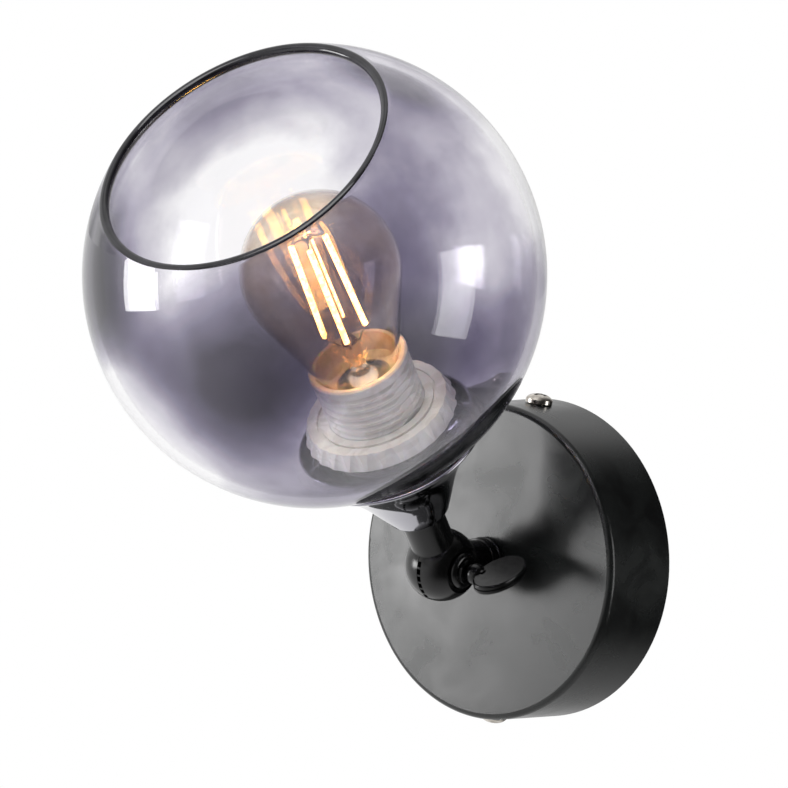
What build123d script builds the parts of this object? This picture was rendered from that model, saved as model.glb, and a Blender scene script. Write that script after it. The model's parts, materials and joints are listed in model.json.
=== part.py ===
from build123d import *
from math import acos, asin, atan2, cos, degrees, hypot, radians, sin, sqrt, tan
import os

# Globe wall sconce: a round canopy on the wall, a clamped ball knuckle, and a lamp head with a trumpet cup,
# a small-screw lampholder, a clear filament bulb and a smoked glass globe that is open at one side.
# The wall is the plane Y = 0, the lamp stands out towards -Y, +Z is up, and the origin is the centre of the
# canopy's back edge. All sizes are in millimetres and all angles in degrees.

# ---------------------------------------------------------------- fits
THREAD_GAP = 0.05        # a screw's crest to its tapped hole, radial
PASS_GAP = 0.25          # a screw or pipe to a plain hole, radial
SEAT_GAP = 0.3           # parts that move past each other
FACE_GAP = 0.1           # each side of the knuckle's flat seam
BULB_GAP = 0.2           # the bulb's cap to the shell that takes it, radial
SKIRT_GAP = 0.5          # the bulb's skirt to the lampholder's well
CONTACT_GAP = 0.05       # a lead to the metal beside it

# ---------------------------------------------------------------- canopy and wall bracket
CANOPY_RADIUS = 47.5     # at the open edge on the wall
CANOPY_FRONT_RADIUS = 46.6
CANOPY_DEPTH = 26.5
CANOPY_WALL = 1.0
CANOPY_EDGE_ROUND = 1.8
BRACKET_WIDTH = 20.0
BRACKET_LENGTH = 80.0    # of the wide part, without the ears
BRACKET_THICKNESS = 1.5
BRACKET_BEND = 1.2
EAR_WIDTH = 12.0
EAR_HEIGHT = 18.0
EAR_GAP = 0.3
SLOT_SPACING = 60.0
SLOT_WIDTH = 4.5
SLOT_LENGTH = 12.0
CABLE_HOLE_RADIUS = 5.5
SIDE_SCREW_OUT = 12.0    # from the wall
M4_RADIUS = 2.0
SIDE_HEAD_RADIUS = 4.0
SIDE_HEAD_HEIGHT = 2.4
SIDE_SCREW_LENGTH = 8.0

# ---------------------------------------------------------------- earth screw and terminal block
EARTH_UP = 16.0          # above the middle of the bracket
EARTH_LEAD_REACH = 15.0  # of the lead's loop above its screw
EARTH_LEAD_BEND = 1.8
EARTH_HEAD_RADIUS = 3.6
EARTH_HEAD_HEIGHT = 2.2
EARTH_WASHER_RADIUS = 4.6
EARTH_WASHER_THICKNESS = 1.0
LUG_THICKNESS = 0.8
LUG_RADIUS = 4.2
BLOCK_DOWN = 15.0        # below the middle of the bracket
BLOCK_WIDTH = 20.0
BLOCK_LENGTH = 15.0
BLOCK_HEIGHT = 12.0
POLE_SPACING = 12.0
CLAMP_SIZE = 5.2
CLAMP_LENGTH = 13.0
CLAMP_OUT = 5.2          # clamp's middle above the block's foot
CLAMP_BORE = 1.6
POLE_SCREW_SPACING = 7.0
POLE_SCREW_RADIUS = 1.25
POLE_HEAD_RADIUS = 1.9
POLE_WELL_RADIUS = 2.2
FIXING_RADIUS = 1.5
FIXING_HEAD_RADIUS = 2.5
FIXING_HEAD_HEIGHT = 1.6
FIXING_STEP = 6.0        # block thickness under the fixing screw's head

# ---------------------------------------------------------------- M10 x 1 pipes, nuts and washers
PIPE_RADIUS = 5.0
PIPE_BORE = 3.5
NUT_ACROSS = 14.0
NUT_THICKNESS = 3.0
LOCK_WASHER_RADIUS = 7.6
LOCK_WASHER_THICKNESS = 0.8
LOCK_WASHER_TEETH = 16
STEM_INSIDE = 9.0        # of the wall-side pipe, behind the canopy's face
BUSHING_FLANGE = 1.0
BUSHING_WALL = 0.5
BUSHING_LENGTH = 5.0

# ---------------------------------------------------------------- ball knuckle
BALL_FROM_CANOPY = 19.8
BALL_RADIUS = 10.7
NECK_RADIUS = 6.4
POST_NECK_LENGTH = 15.2  # from the ball's centre
HEAD_NECK_LENGTH = 19.6
NECK_TAP_START = 11.7
COLLAR_RADIUS = 6.9
COLLAR_FLANGE_RADIUS = 7.2
COLLAR_FLANGE_THICKNESS = 1.6
POCKET_RADIUS = 7.6
POCKET_DEPTH = 5.4
PIVOT_BOSS_RADIUS = 4.3
DUCT_OFFSET = 3.0
DUCT_RADIUS = 2.3
NOTCH_COUNT = 30         # round the seam, without those that the neck covers
NOTCH_LENGTH = 1.7       # along the seam
NOTCH_ACROSS = 1.1
NOTCH_INWARD = 2.0
LAMP_TILT = 39.2         # of the lamp's axis from upright, away from the wall

# ---------------------------------------------------------------- thumbscrew
CLAMP_SCREW_RADIUS = 2.5
CLAMP_SCREW_REACH = 8.4  # past the seam, in the wall-side half
RECESS_OUT = 7.6
RECESS_RADIUS = 6.8
CUP_WASHER_RADIUS = 5.4
CUP_WASHER_HEIGHT = 1.9
SPRING_WASHER_RADIUS = 4.0
SPRING_WASHER_THICKNESS = 1.1
KNOB_BALL_RADIUS = 3.1
PADDLE_OUT = 20.0        # paddle's middle from the ball's centre
PADDLE_SHIFT = 2.7       # of the paddle's middle from the screw's axis
PADDLE_HALF_LENGTH = 9.5
PADDLE_HALF_WIDTH = 6.2
PADDLE_THICKNESS = 2.8
PADDLE_EDGE_ROUND = 0.5
PADDLE_GROOVE_WIDTH = 0.5 # round the middle of the edge
PADDLE_GROOVE_DEPTH = 0.35
PADDLE_ANGLE = 25.5      # above level, on the wall side

# ---------------------------------------------------------------- trumpet cup
CUP_FOOT_RADIUS = 8.2    # where the foot's flat and the cone would meet
CUP_FOOT_ROUND = 3.4
CUP_WALL = 1.0
CUP_CONE_LENGTH = 10.4
CUP_CONE_ANGLE = 26.6    # from the lamp's axis
CUP_FLARE_RADIUS = 57.0
CUP_FLARE_TURN = 23.0
SPACER_RADIUS = 6.0
SPACER_LENGTH = 1.2

# ---------------------------------------------------------------- lampholder, along the lamp's axis
HOLDER_START = 30.6      # from the ball's centre
HOLDER_CAP_RADIUS = 13.0
HOLDER_CAP_CHAMFER = 1.4
HOLDER_CAP_WALL = 1.4
HOLDER_CAP_FLOOR = 2.4
HOLDER_CAP_LENGTH = 15.0
HOLDER_BOSS_RADIUS = 7.4
HOLDER_BOSS_LENGTH = 5.4
HOLDER_SPIGOT_LENGTH = 3.5
HOLDER_FLANGE_RADIUS = 17.6
HOLDER_FLANGE_THICKNESS = 2.1
HOLDER_SHELL_LENGTH = 32.0
HOLDER_CREST_RADIUS = 14.3
HOLDER_THREAD_DEPTH = 0.7
HOLDER_THREAD_PITCH = 2.6
HOLDER_RIM_HEIGHT = 2.6
HOLDER_RIM_RADIUS = 14.5
HOLDER_FLATS = 27.4
HOLDER_MOUTH_RADIUS = 12.9
HOLDER_MOUTH_DEPTH = 6.5
HOLDER_MOUTH_CONE = 3.5
HOLDER_FLOOR = 2.9
CONTACT_SHELL_WALL = 0.4
CONTACT_SHELL_LENGTH = 12.8
CONTACT_TAB_WIDTH = 4.0
CONTACT_STRIP_THICKNESS = 0.6
CONTACT_STRIP_WIDTH = 4.2
CONTACT_STRIP_LENGTH = 10.5
RIVET_RADIUS = 1.2
TERMINAL_SIZE = 5.0
TERMINAL_HEIGHT = 6.2
TERMINAL_OFFSET = 6.4
TERMINAL_SCREW_RADIUS = 1.3
TERMINAL_SCREW_HEAD = 2.0

# ---------------------------------------------------------------- globe and shade ring
GASKET_RADIUS = 18.6
GASKET_THICKNESS = 1.0
GLOBE_RADIUS = 63.0
GLOBE_WALL = 2.8
GLOBE_LAND_RADIUS = 22.5 # flat land that the globe stands on
GLOBE_LAND_STAND = 1.74  # of the land's edge out of the sphere, along the sphere's radius
GLOBE_SHIFT = 2.4        # of the globe's centre from the lampholder's axis, down at the front
GLOBE_HOLE_GAP = 0.5
MOUTH_SLANT = 8.2        # of the mouth's plane to the lamp's axis, turned down at the front
MOUTH_RADIUS = 40.7      # of the bead's middle line
MOUTH_BEAD_RADIUS = 1.45
RING_HEIGHT = 8.0
RING_FOOT_RADIUS = 19.0
RING_RADIUS = 22.7
RING_TOP_RADIUS = 20.8
RING_FOOT_HEIGHT = 2.9
RING_SCALLOPS = 26
SCALLOP_RADIUS = 3.4
SCALLOP_DEPTH = 0.75
RING_GROOVE_RADIUS = 17.4
RING_GROOVE_WIDTH = 1.0
RING_GROOVE_DEPTH = 0.8

# ---------------------------------------------------------------- bulb, small screw cap and 44 mm pear
BULB_RADIUS = 22.2
BULB_GLASS = 0.8
BULB_CENTRE = 109.4      # from the ball's centre
BULB_CONE_ANGLE = 19.0
BULB_NECK_RADIUS = 7.6
CAP_SKIRT_RADIUS = 8.3
CAP_SKIRT_LENGTH = 5.4
CAP_THREAD_RADIUS = 6.95
CAP_THREAD_DEPTH = 0.6
CAP_THREAD_PITCH = 2.82
CAP_THREAD_LENGTH = 13.2
CAP_WALL = 0.4
INSULATOR_HEIGHT = 2.2
TIP_RADIUS = 2.4
TIP_HEIGHT = 0.9
FILAMENT_COUNT = 4
FILAMENT_RADIUS = 0.8
FILAMENT_LENGTH = 31.0
FILAMENT_FOOT_SPREAD = 6.0
FILAMENT_TOP_SPREAD = 4.8
FILAMENT_ABOVE_CENTRE = 10.2
STEM_TUBE_RADIUS = 2.4
STEM_ROD_RADIUS = 0.8
STEM_HUB_RADIUS = 1.5
SUPPORT_RADIUS = 0.3
DRIVER_WIDTH = 9.0
DRIVER_LENGTH = 10.0
DRIVER_THICKNESS = 1.0

# ---------------------------------------------------------------- inner wires
WIRE_RADIUS = 0.9
WIRE_SPREAD = 1.1        # of each wire from the pipes' middle plane
WIRE_ASIDE = 2.25        # of the wires from the knuckle's seam
WIRE_BEND = 1.2

# ---------------------------------------------------------------- frames and places that follow
BALL_OUT = CANOPY_DEPTH + BALL_FROM_CANOPY
wall_frame = Plane(origin=(0, 0, 0), x_dir=(1, 0, 0), z_dir=(0, -1, 0))
post_frame = Plane(origin=(0, -BALL_OUT, 0), x_dir=(1, 0, 0), z_dir=(0, 1, 0))
lamp_frame = Plane(
    origin=(0, -BALL_OUT, 0), x_dir=(1, 0, 0), z_dir=(0, -sin(radians(LAMP_TILT)), cos(radians(LAMP_TILT)))
)
pivot_frame = Plane(
    origin=(0, -BALL_OUT, 0),
    x_dir=(0, cos(radians(PADDLE_ANGLE)), sin(radians(PADDLE_ANGLE))),
    z_dir=(1, 0, 0),
)

holder_joint = HOLDER_START + HOLDER_CAP_LENGTH       # lampholder's cap meets its shell
holder_seat = holder_joint + HOLDER_FLANGE_THICKNESS
holder_rim = holder_joint + HOLDER_SHELL_LENGTH
land_at = holder_seat + GASKET_THICKNESS              # globe's outer land
land_drop = sqrt((GLOBE_RADIUS + GLOBE_LAND_STAND) ** 2 - GLOBE_LAND_RADIUS**2)
globe_centre = land_at + land_drop
land_floor = land_at + GLOBE_WALL
ring_start = land_floor + SEAT_GAP
cap_start = HOLDER_START + HOLDER_CAP_LENGTH + HOLDER_FLOOR + CONTACT_STRIP_THICKNESS + SEAT_GAP
thread_start = cap_start + TIP_HEIGHT + INSULATOR_HEIGHT
skirt_start = thread_start + CAP_THREAD_LENGTH
skirt_end = skirt_start + CAP_SKIRT_LENGTH
contact_inner = CAP_THREAD_RADIUS + BULB_GAP
contact_outer = contact_inner + CONTACT_SHELL_WALL
well_radius = CAP_SKIRT_RADIUS + SKIRT_GAP
pipe_top = HOLDER_START + HOLDER_BOSS_LENGTH - 0.4
washer_at = HEAD_NECK_LENGTH + CUP_WALL + SPACER_LENGTH
hole_in_glass = HOLDER_CREST_RADIUS + GLOBE_HOLE_GAP


# ---------------------------------------------------------------- shared shapes
def rod(radius, start, end, x=0.0, y=0.0):
    """Cylinder along Z from start to end."""
    return Pos(x, y, start) * Cylinder(radius, end - start, align=(Align.CENTER, Align.CENTER, Align.MIN))


def pipe(outer, inner, start, end):
    """Round tube along Z from start to end."""
    return rod(outer, start, end) - rod(inner, start - 1, end + 1)


def block(width, length, start, end, x=0.0, y=0.0):
    """Box centred on x, y that runs along Z from start to end."""
    return Pos(x, y, start) * Box(width, length, end - start, align=(Align.CENTER, Align.CENTER, Align.MIN))


def turned(*edges):
    """Solid of revolution about Z; the edges are drawn as (radius, height) points of one closed outline."""
    return revolve(Plane.XZ * make_face(edges), Axis.Z)


def turned_points(*points):
    """Solid of revolution about Z from a closed outline of straight lines."""
    return turned(Polyline(*points, close=True))


def ridge_outline(root, crest, pitch, start, end):
    """Points of a row of rounded thread ridges, as (radius, height), from start up to end."""
    count = int((end - start) / pitch)
    first = start + (end - start - count * pitch) / 2
    points = [(root, start)]
    for turn in range(count):
        low = first + turn * pitch
        points += [(root, low + 0.15 * pitch), (crest, low + 0.4 * pitch)]
        points += [(crest, low + 0.6 * pitch), (root, low + 0.85 * pitch)]
    return points + [(root, end)]


def hex_nut(across, bore, start, thickness):
    """Chamfered hexagon nut along Z."""
    corner = across / 2 / cos(radians(30))
    top = start + thickness
    slope = corner - across / 2
    prism = Pos(0, 0, start) * extrude(RegularPolygon(corner, 6), thickness)
    ease = turned_points(
        (0, start), (across / 2, start), (corner, start + slope / 2),
        (corner, top - slope / 2), (across / 2, top), (0, top),
    )
    return (prism & ease) - rod(bore, start - 1, top + 1)


def toothed_washer(outer, inner, start, thickness, teeth):
    """Flat washer along Z with notches cut in its outer edge."""
    washer = pipe(outer, inner, start, start + thickness)
    notch = block(1.6, 0.9, start - 1, start + thickness + 1, x=outer)
    return washer - [Rot(0, 0, 360 / teeth * turn) * notch for turn in range(teeth)]


def pan_screw(head_radius, head_height, radius, length, crossed):
    """Screw along Z: the head stands above the plane Z = 0 and the shank runs below it."""
    edge = head_height * 0.45
    head = turned(
        Polyline((0, head_height), (0, 0), (head_radius, 0), (head_radius, edge)),
        ThreePointArc((head_radius, edge), (head_radius * 0.72, head_height * 0.87), (0, head_height)),
    )
    shank = rod(radius, -length, 0) + Pos(0, 0, -length) * Cone(
        radius * 0.7, radius, 0.5, align=(Align.CENTER, Align.CENTER, Align.MAX)
    )
    slot = block(head_radius * 1.15, head_radius * 0.28, head_height * 0.4, head_height + 1)
    if crossed:
        slot += Rot(0, 0, 90) * slot
    else:
        slot = block(head_radius * 3, head_radius * 0.28, head_height * 0.5, head_height + 1)
    return head + shank - slot


def wire(points, bend, radius=WIRE_RADIUS):
    """Round wire along straight runs that are joined by arcs."""
    path = FilletPolyline(*points, radius=bend)
    return sweep(Plane(origin=path @ 0, z_dir=path % 0) * Circle(radius), path)


# ---------------------------------------------------------------- canopy group, drawn from the wall outwards
def canopy_radius_at(out):
    """Outer radius of the drafted side wall at a distance from the wall."""
    return CANOPY_RADIUS - (CANOPY_RADIUS - CANOPY_FRONT_RADIUS) * out / CANOPY_DEPTH


def canopy_cover():
    """Drawn steel drum, open at the wall, with a hole for the pipe and two for the side screws."""
    outer = turned_points((0, 0), (CANOPY_RADIUS, 0), (CANOPY_FRONT_RADIUS, CANOPY_DEPTH), (0, CANOPY_DEPTH))
    outer = fillet(outer.edges().group_by(Axis.Z)[-1], CANOPY_EDGE_ROUND)
    floor = CANOPY_DEPTH - CANOPY_WALL
    inside = [(canopy_radius_at(out) - CANOPY_WALL, out) for out in (-1, floor)]
    inner = turned_points((0, -1), *inside, (0, floor))
    inner = fillet(inner.edges().group_by(Axis.Z)[-1], CANOPY_EDGE_ROUND - CANOPY_WALL)
    across = Cylinder(M4_RADIUS + PASS_GAP, 2 * CANOPY_RADIUS + 4)
    side_holes = Pos(0, 0, SIDE_SCREW_OUT) * Rot(90, 0, 0) * across
    return outer - inner - rod(PIPE_RADIUS + PASS_GAP, floor - 1, CANOPY_DEPTH + 1) - side_holes


def ear_face():
    """Distance of an ear's outer face from the middle, just inside the canopy's wall."""
    inside = canopy_radius_at(EAR_HEIGHT) - CANOPY_WALL
    return sqrt(inside**2 - (EAR_WIDTH / 2) ** 2) - EAR_GAP


def wall_bracket():
    """Pressed steel strip with two bent ears, wall slots, a cable hole and tapped holes."""
    reach = ear_face()
    strip = block(EAR_WIDTH, 2 * reach, 0, BRACKET_THICKNESS) + block(
        BRACKET_WIDTH, BRACKET_LENGTH, 0, BRACKET_THICKNESS
    )
    for side in (1, -1):
        middle = side * (reach - BRACKET_THICKNESS / 2)
        strip += block(EAR_WIDTH, BRACKET_THICKNESS, 0, EAR_HEIGHT, y=middle)
        corner = side * (reach - BRACKET_THICKNESS)
        gusset = block(EAR_WIDTH, BRACKET_BEND, BRACKET_THICKNESS, BRACKET_THICKNESS + BRACKET_BEND,
                       y=corner - side * BRACKET_BEND / 2)
        hollow = Pos(0, corner - side * BRACKET_BEND, BRACKET_THICKNESS + BRACKET_BEND) * Rot(0, 90, 0)
        strip += gusset - hollow * Cylinder(BRACKET_BEND, EAR_WIDTH + 1)
        slot = extrude(SlotOverall(SLOT_LENGTH, SLOT_WIDTH, rotation=90), BRACKET_THICKNESS + 2)
        strip -= Pos(0, side * SLOT_SPACING / 2, -1) * slot
    strip -= rod(CABLE_HOLE_RADIUS, -1, BRACKET_THICKNESS + 1)
    strip -= rod(M4_RADIUS + THREAD_GAP, -1, BRACKET_THICKNESS + 1, y=EARTH_UP)
    strip -= rod(FIXING_RADIUS + THREAD_GAP, -1, BRACKET_THICKNESS + 1, y=-BLOCK_DOWN)
    tapped = Pos(0, 0, SIDE_SCREW_OUT) * Rot(90, 0, 0) * Cylinder(M4_RADIUS + THREAD_GAP, 2 * reach + 2)
    return strip - tapped


def canopy_screws():
    """Two pan-head screws through the canopy's side into the ears, top and bottom."""
    seat = canopy_radius_at(SIDE_SCREW_OUT - SIDE_HEAD_RADIUS) + 0.02
    screw = pan_screw(SIDE_HEAD_RADIUS, SIDE_HEAD_HEIGHT, M4_RADIUS, SIDE_SCREW_LENGTH, crossed=True)
    top = Pos(0, seat, SIDE_SCREW_OUT) * Rot(-90, 0, 0) * screw
    return [top, Rot(0, 0, 180) * top]


def earth_screw():
    """Screw that holds the earth washer and the lead's lug on the bracket."""
    seat = BRACKET_THICKNESS + LUG_THICKNESS + EARTH_WASHER_THICKNESS
    screw = pan_screw(EARTH_HEAD_RADIUS, EARTH_HEAD_HEIGHT, M4_RADIUS, seat - 0.8, crossed=True)
    return Pos(0, EARTH_UP, seat) * screw


def earth_washer():
    """Cup washer that keeps a bare wire under the earth screw."""
    start = BRACKET_THICKNESS + LUG_THICKNESS
    washer = pipe(EARTH_WASHER_RADIUS, M4_RADIUS + PASS_GAP, start, start + EARTH_WASHER_THICKNESS)
    return Pos(0, EARTH_UP, 0) * washer


def earth_lead():
    """Insulated lead with a ring lug at the bracket and a ring tag under the pipe's nut."""
    lug = rod(LUG_RADIUS, BRACKET_THICKNESS, BRACKET_THICKNESS + LUG_THICKNESS)
    lug += block(3.0, 6.0, BRACKET_THICKNESS, BRACKET_THICKNESS + LUG_THICKNESS, y=5.4)
    lug -= rod(M4_RADIUS + PASS_GAP, 0, BRACKET_THICKNESS + 2)
    tag_out = CANOPY_DEPTH - CANOPY_WALL - LUG_THICKNESS
    tag = rod(LOCK_WASHER_RADIUS, tag_out, tag_out + LUG_THICKNESS)
    tag += block(3.0, 8.0, tag_out, tag_out + LUG_THICKNESS, y=LOCK_WASHER_RADIUS + 2.4)
    tag -= rod(PIPE_RADIUS + PASS_GAP, tag_out - 1, tag_out + 2)
    barrel = WIRE_RADIUS + 0.3
    crimp = BRACKET_THICKNESS + barrel + CONTACT_GAP
    lug_end = EARTH_UP + 7.4
    tag_end = LOCK_WASHER_RADIUS + 5.4
    far = EARTH_UP + EARTH_LEAD_REACH
    middle = CANOPY_DEPTH - CANOPY_WALL - barrel - CONTACT_GAP
    lead = wire(
        [(0, lug_end, crimp), (0, lug_end + 3.0, crimp), (0, far, 7.0), (0, far, middle - 6.0),
         (0, tag_end + 7.0, middle), (0, tag_end, middle)],
        bend=EARTH_LEAD_BEND,
    )
    crimp_barrel = Pos(0, lug_end - 0.5, crimp) * Rot(90, 0, 0) * Cylinder(barrel, 3.4)
    tag_barrel = Pos(0, tag_end, middle) * Rot(90, 0, 0) * Cylinder(barrel, 3.4)
    return Pos(0, EARTH_UP, 0) * lug + tag + lead + crimp_barrel + tag_barrel


def terminal_block():
    """Moulded two-pole connector body that stands on the bracket."""
    foot = BRACKET_THICKNESS
    body = block(BLOCK_WIDTH, BLOCK_LENGTH, foot, foot + CLAMP_OUT)
    for side in (1, -1):
        x = side * POLE_SPACING / 2
        body += block(CLAMP_SIZE + 2.6, BLOCK_LENGTH, foot, foot + CLAMP_OUT + CLAMP_SIZE / 2 + 1.2, x=x)
        for end in (1, -1):
            y = end * POLE_SCREW_SPACING / 2
            body += rod(POLE_WELL_RADIUS + 1.1, foot, foot + BLOCK_HEIGHT, x=x, y=y)
            body -= rod(POLE_WELL_RADIUS, foot + CLAMP_OUT, foot + BLOCK_HEIGHT + 1, x=x, y=y)
        channel = CLAMP_SIZE + 0.2
        low = foot + CLAMP_OUT - channel / 2
        body -= block(channel, BLOCK_LENGTH + 2, low, low + channel, x=x)
    body -= rod(FIXING_RADIUS + PASS_GAP, 0, foot + BLOCK_HEIGHT)
    body -= rod(FIXING_HEAD_RADIUS + PASS_GAP, foot + FIXING_STEP - 1.6, foot + BLOCK_HEIGHT)
    return Pos(0, -BLOCK_DOWN, 0) * body


def terminal_clamps():
    """Two brass clamps, bored lengthwise for the wires and tapped for the screws."""
    middle = BRACKET_THICKNESS + CLAMP_OUT
    clamps = []
    for side in (1, -1):
        x = side * POLE_SPACING / 2
        clamp = block(CLAMP_SIZE, CLAMP_LENGTH, middle - CLAMP_SIZE / 2, middle + CLAMP_SIZE / 2)
        clamp -= Pos(0, 0, middle) * Rot(90, 0, 0) * Cylinder(CLAMP_BORE, CLAMP_LENGTH + 2)
        for end in (1, -1):
            tap = POLE_SCREW_RADIUS + THREAD_GAP
            clamp -= rod(tap, middle, middle + CLAMP_SIZE, y=end * POLE_SCREW_SPACING / 2)
        clamps.append(Pos(x, -BLOCK_DOWN, 0) * clamp)
    return clamps


def terminal_screws():
    """Four slotted screws that press the wires in the clamps."""
    seat = BRACKET_THICKNESS + CLAMP_OUT + CLAMP_SIZE / 2 + 0.9
    screw = pan_screw(POLE_HEAD_RADIUS, 1.5, POLE_SCREW_RADIUS, 1.9, crossed=False)
    return [
        Pos(side * POLE_SPACING / 2, -BLOCK_DOWN + end * POLE_SCREW_SPACING / 2, seat) * screw
        for side in (1, -1) for end in (1, -1)
    ]


def block_screw():
    """Screw that fastens the terminal block to the bracket."""
    seat = BRACKET_THICKNESS + FIXING_STEP - 1.6
    screw = pan_screw(FIXING_HEAD_RADIUS, FIXING_HEAD_HEIGHT, FIXING_RADIUS, seat - 0.8, crossed=True)
    return Pos(0, -BLOCK_DOWN, seat) * screw


def stem_pipe():
    """Threaded pipe that joins the canopy to the knuckle, seen from the ball towards the wall."""
    return pipe(PIPE_RADIUS, PIPE_BORE, NECK_TAP_START + 0.3, BALL_FROM_CANOPY + CANOPY_WALL + STEM_INSIDE)


def stem_nut():
    """Nut behind the canopy's face, on the lock washer and the earth tag."""
    start = BALL_FROM_CANOPY + CANOPY_WALL + LUG_THICKNESS + LOCK_WASHER_THICKNESS
    return hex_nut(NUT_ACROSS, PIPE_RADIUS + THREAD_GAP, start, NUT_THICKNESS)


def stem_lock_washer():
    """Toothed washer under the stem's nut."""
    start = BALL_FROM_CANOPY + CANOPY_WALL + LUG_THICKNESS
    bore = PIPE_RADIUS + PASS_GAP
    return toothed_washer(LOCK_WASHER_RADIUS, bore, start, LOCK_WASHER_THICKNESS, LOCK_WASHER_TEETH)


def pipe_bushing():
    """Plastic bushing that keeps the wires off the pipe's cut end."""
    end = BALL_FROM_CANOPY + CANOPY_WALL + STEM_INSIDE
    outer = PIPE_BORE - THREAD_GAP
    return turned_points(
        (outer - BUSHING_WALL, end - BUSHING_LENGTH), (outer, end - BUSHING_LENGTH), (outer, end),
        (PIPE_RADIUS, end), (PIPE_RADIUS, end + BUSHING_FLANGE), (outer - BUSHING_WALL, end + BUSHING_FLANGE),
    )


def post_collar():
    """Turned collar between the knuckle's neck and the canopy's face."""
    flange = BALL_FROM_CANOPY - COLLAR_FLANGE_THICKNESS
    bore = PIPE_RADIUS + PASS_GAP
    start = POST_NECK_LENGTH
    return turned_points(
        (bore, start), (COLLAR_RADIUS - 0.3, start), (COLLAR_RADIUS, start + 0.3),
        (COLLAR_RADIUS, flange), (COLLAR_FLANGE_RADIUS, flange + 0.3), (COLLAR_FLANGE_RADIUS, BALL_FROM_CANOPY),
        (bore, BALL_FROM_CANOPY),
    )


# ---------------------------------------------------------------- knuckle
def knuckle_half(side, neck_length):
    """Half ball on one side of the seam, with a full neck along Z that overhangs the other half.

    side is +1 for the half that the thumbscrew's washers press on, and -1 for the tapped half.
    """
    room = 4 * BALL_RADIUS
    own_side = Pos(side * (FACE_GAP + room / 2), 0, 0) * Box(room, room, room)
    neck = rod(NECK_RADIUS, 0, neck_length)
    half = (Sphere(BALL_RADIUS) + neck) & own_side
    half += neck - Sphere(BALL_RADIUS + SEAT_GAP)
    half -= rod(PIPE_RADIUS + THREAD_GAP, NECK_TAP_START, neck_length + 1)
    to_side = Rot(0, 90 * side, 0)
    pocket = pipe(POCKET_RADIUS, PIVOT_BOSS_RADIUS, -1, POCKET_DEPTH)
    half -= to_side * pocket
    half -= rod(DUCT_RADIUS, PIVOT_BOSS_RADIUS + DUCT_RADIUS, NECK_TAP_START + 1, x=side * DUCT_OFFSET)
    return half


def knuckle_base():
    """Wall-side half: tapped for the thumbscrew."""
    half = knuckle_half(-1, POST_NECK_LENGTH)
    return half - Rot(0, -90, 0) * rod(CLAMP_SCREW_RADIUS + THREAD_GAP, -1, CLAMP_SCREW_REACH + SEAT_GAP)


def knuckle_head():
    """Lamp-side half: bored for the thumbscrew, recessed for its washers, notched along the seam."""
    half = knuckle_half(1, HEAD_NECK_LENGTH)
    half -= Rot(0, 90, 0) * rod(CLAMP_SCREW_RADIUS + PASS_GAP, -1, BALL_RADIUS + 1)
    half -= Rot(0, 90, 0) * rod(RECESS_RADIUS, RECESS_OUT, BALL_RADIUS + 1)
    bottom = BALL_RADIUS - NOTCH_INWARD
    notch = block(NOTCH_ACROSS, NOTCH_LENGTH, bottom, BALL_RADIUS + 1, x=FACE_GAP + NOTCH_ACROSS / 2)
    clear = asin((NECK_RADIUS + 1.0) / BALL_RADIUS)
    for turn in range(NOTCH_COUNT):
        angle = 360 / NOTCH_COUNT * turn
        if abs(sin(radians(angle / 2))) > sin(clear / 2):
            half -= Rot(angle, 0, 0) * notch
    return half


def cup_washer():
    """Domed washer in the knuckle's recess."""
    start = RECESS_OUT + FACE_GAP
    top = start + CUP_WASHER_HEIGHT
    bore = CLAMP_SCREW_RADIUS + PASS_GAP
    shoulder = (SPRING_WASHER_RADIUS, top)
    edge = (CUP_WASHER_RADIUS, start + 0.5)
    dome = ((CUP_WASHER_RADIUS + SPRING_WASHER_RADIUS) / 2 + 0.25, top - 0.45)
    return turned(
        Polyline(shoulder, (bore, top), (bore, start), (CUP_WASHER_RADIUS, start), edge),
        ThreePointArc(edge, dome, shoulder),
    )


def spring_washer():
    """Split spring washer under the thumbscrew's ball."""
    start = RECESS_OUT + FACE_GAP + CUP_WASHER_HEIGHT
    end = start + SPRING_WASHER_THICKNESS
    ring = pipe(SPRING_WASHER_RADIUS - 0.3, CLAMP_SCREW_RADIUS + PASS_GAP, start, end)
    split = Pos(SPRING_WASHER_RADIUS, 0, (start + end) / 2) * Rot(35, 0, 0) * Box(4, 0.5, 4)
    return ring - split


def thumb_screw():
    """Clamping screw with a ball and a leaf-shaped paddle with a groove round its edge."""
    seat = RECESS_OUT + FACE_GAP + CUP_WASHER_HEIGHT + SPRING_WASHER_THICKNESS
    ball_at = seat + KNOB_BALL_RADIUS * 0.75
    above_seat = rod(2 * KNOB_BALL_RADIUS, seat, seat + 4 * KNOB_BALL_RADIUS)
    knob = (Pos(0, 0, ball_at) * Sphere(KNOB_BALL_RADIUS)) & above_seat
    shank = rod(CLAMP_SCREW_RADIUS, -CLAMP_SCREW_REACH, seat)
    shank -= pipe(CLAMP_SCREW_RADIUS + 1, CLAMP_SCREW_RADIUS - 0.35, SEAT_GAP, RECESS_OUT)
    leaf_plane = Plane(origin=(PADDLE_SHIFT, 0, PADDLE_OUT), x_dir=(1, 0, 0), z_dir=(0, 1, 0))
    whole = Ellipse(PADDLE_HALF_LENGTH, PADDLE_HALF_WIDTH)
    core = Ellipse(PADDLE_HALF_LENGTH - PADDLE_GROOVE_DEPTH, PADDLE_HALF_WIDTH - PADDLE_GROOVE_DEPTH)
    leaf = extrude(whole, PADDLE_THICKNESS / 2, both=True)
    leaf = fillet(leaf.edges().filter_by(GeomType.ELLIPSE), PADDLE_EDGE_ROUND)
    leaf -= extrude(whole - core, PADDLE_GROOVE_WIDTH / 2, both=True)
    stalk = rod(KNOB_BALL_RADIUS * 0.6, ball_at, PADDLE_OUT - PADDLE_HALF_WIDTH + 2.5)
    return shank + knob + stalk + leaf_plane * leaf


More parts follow.
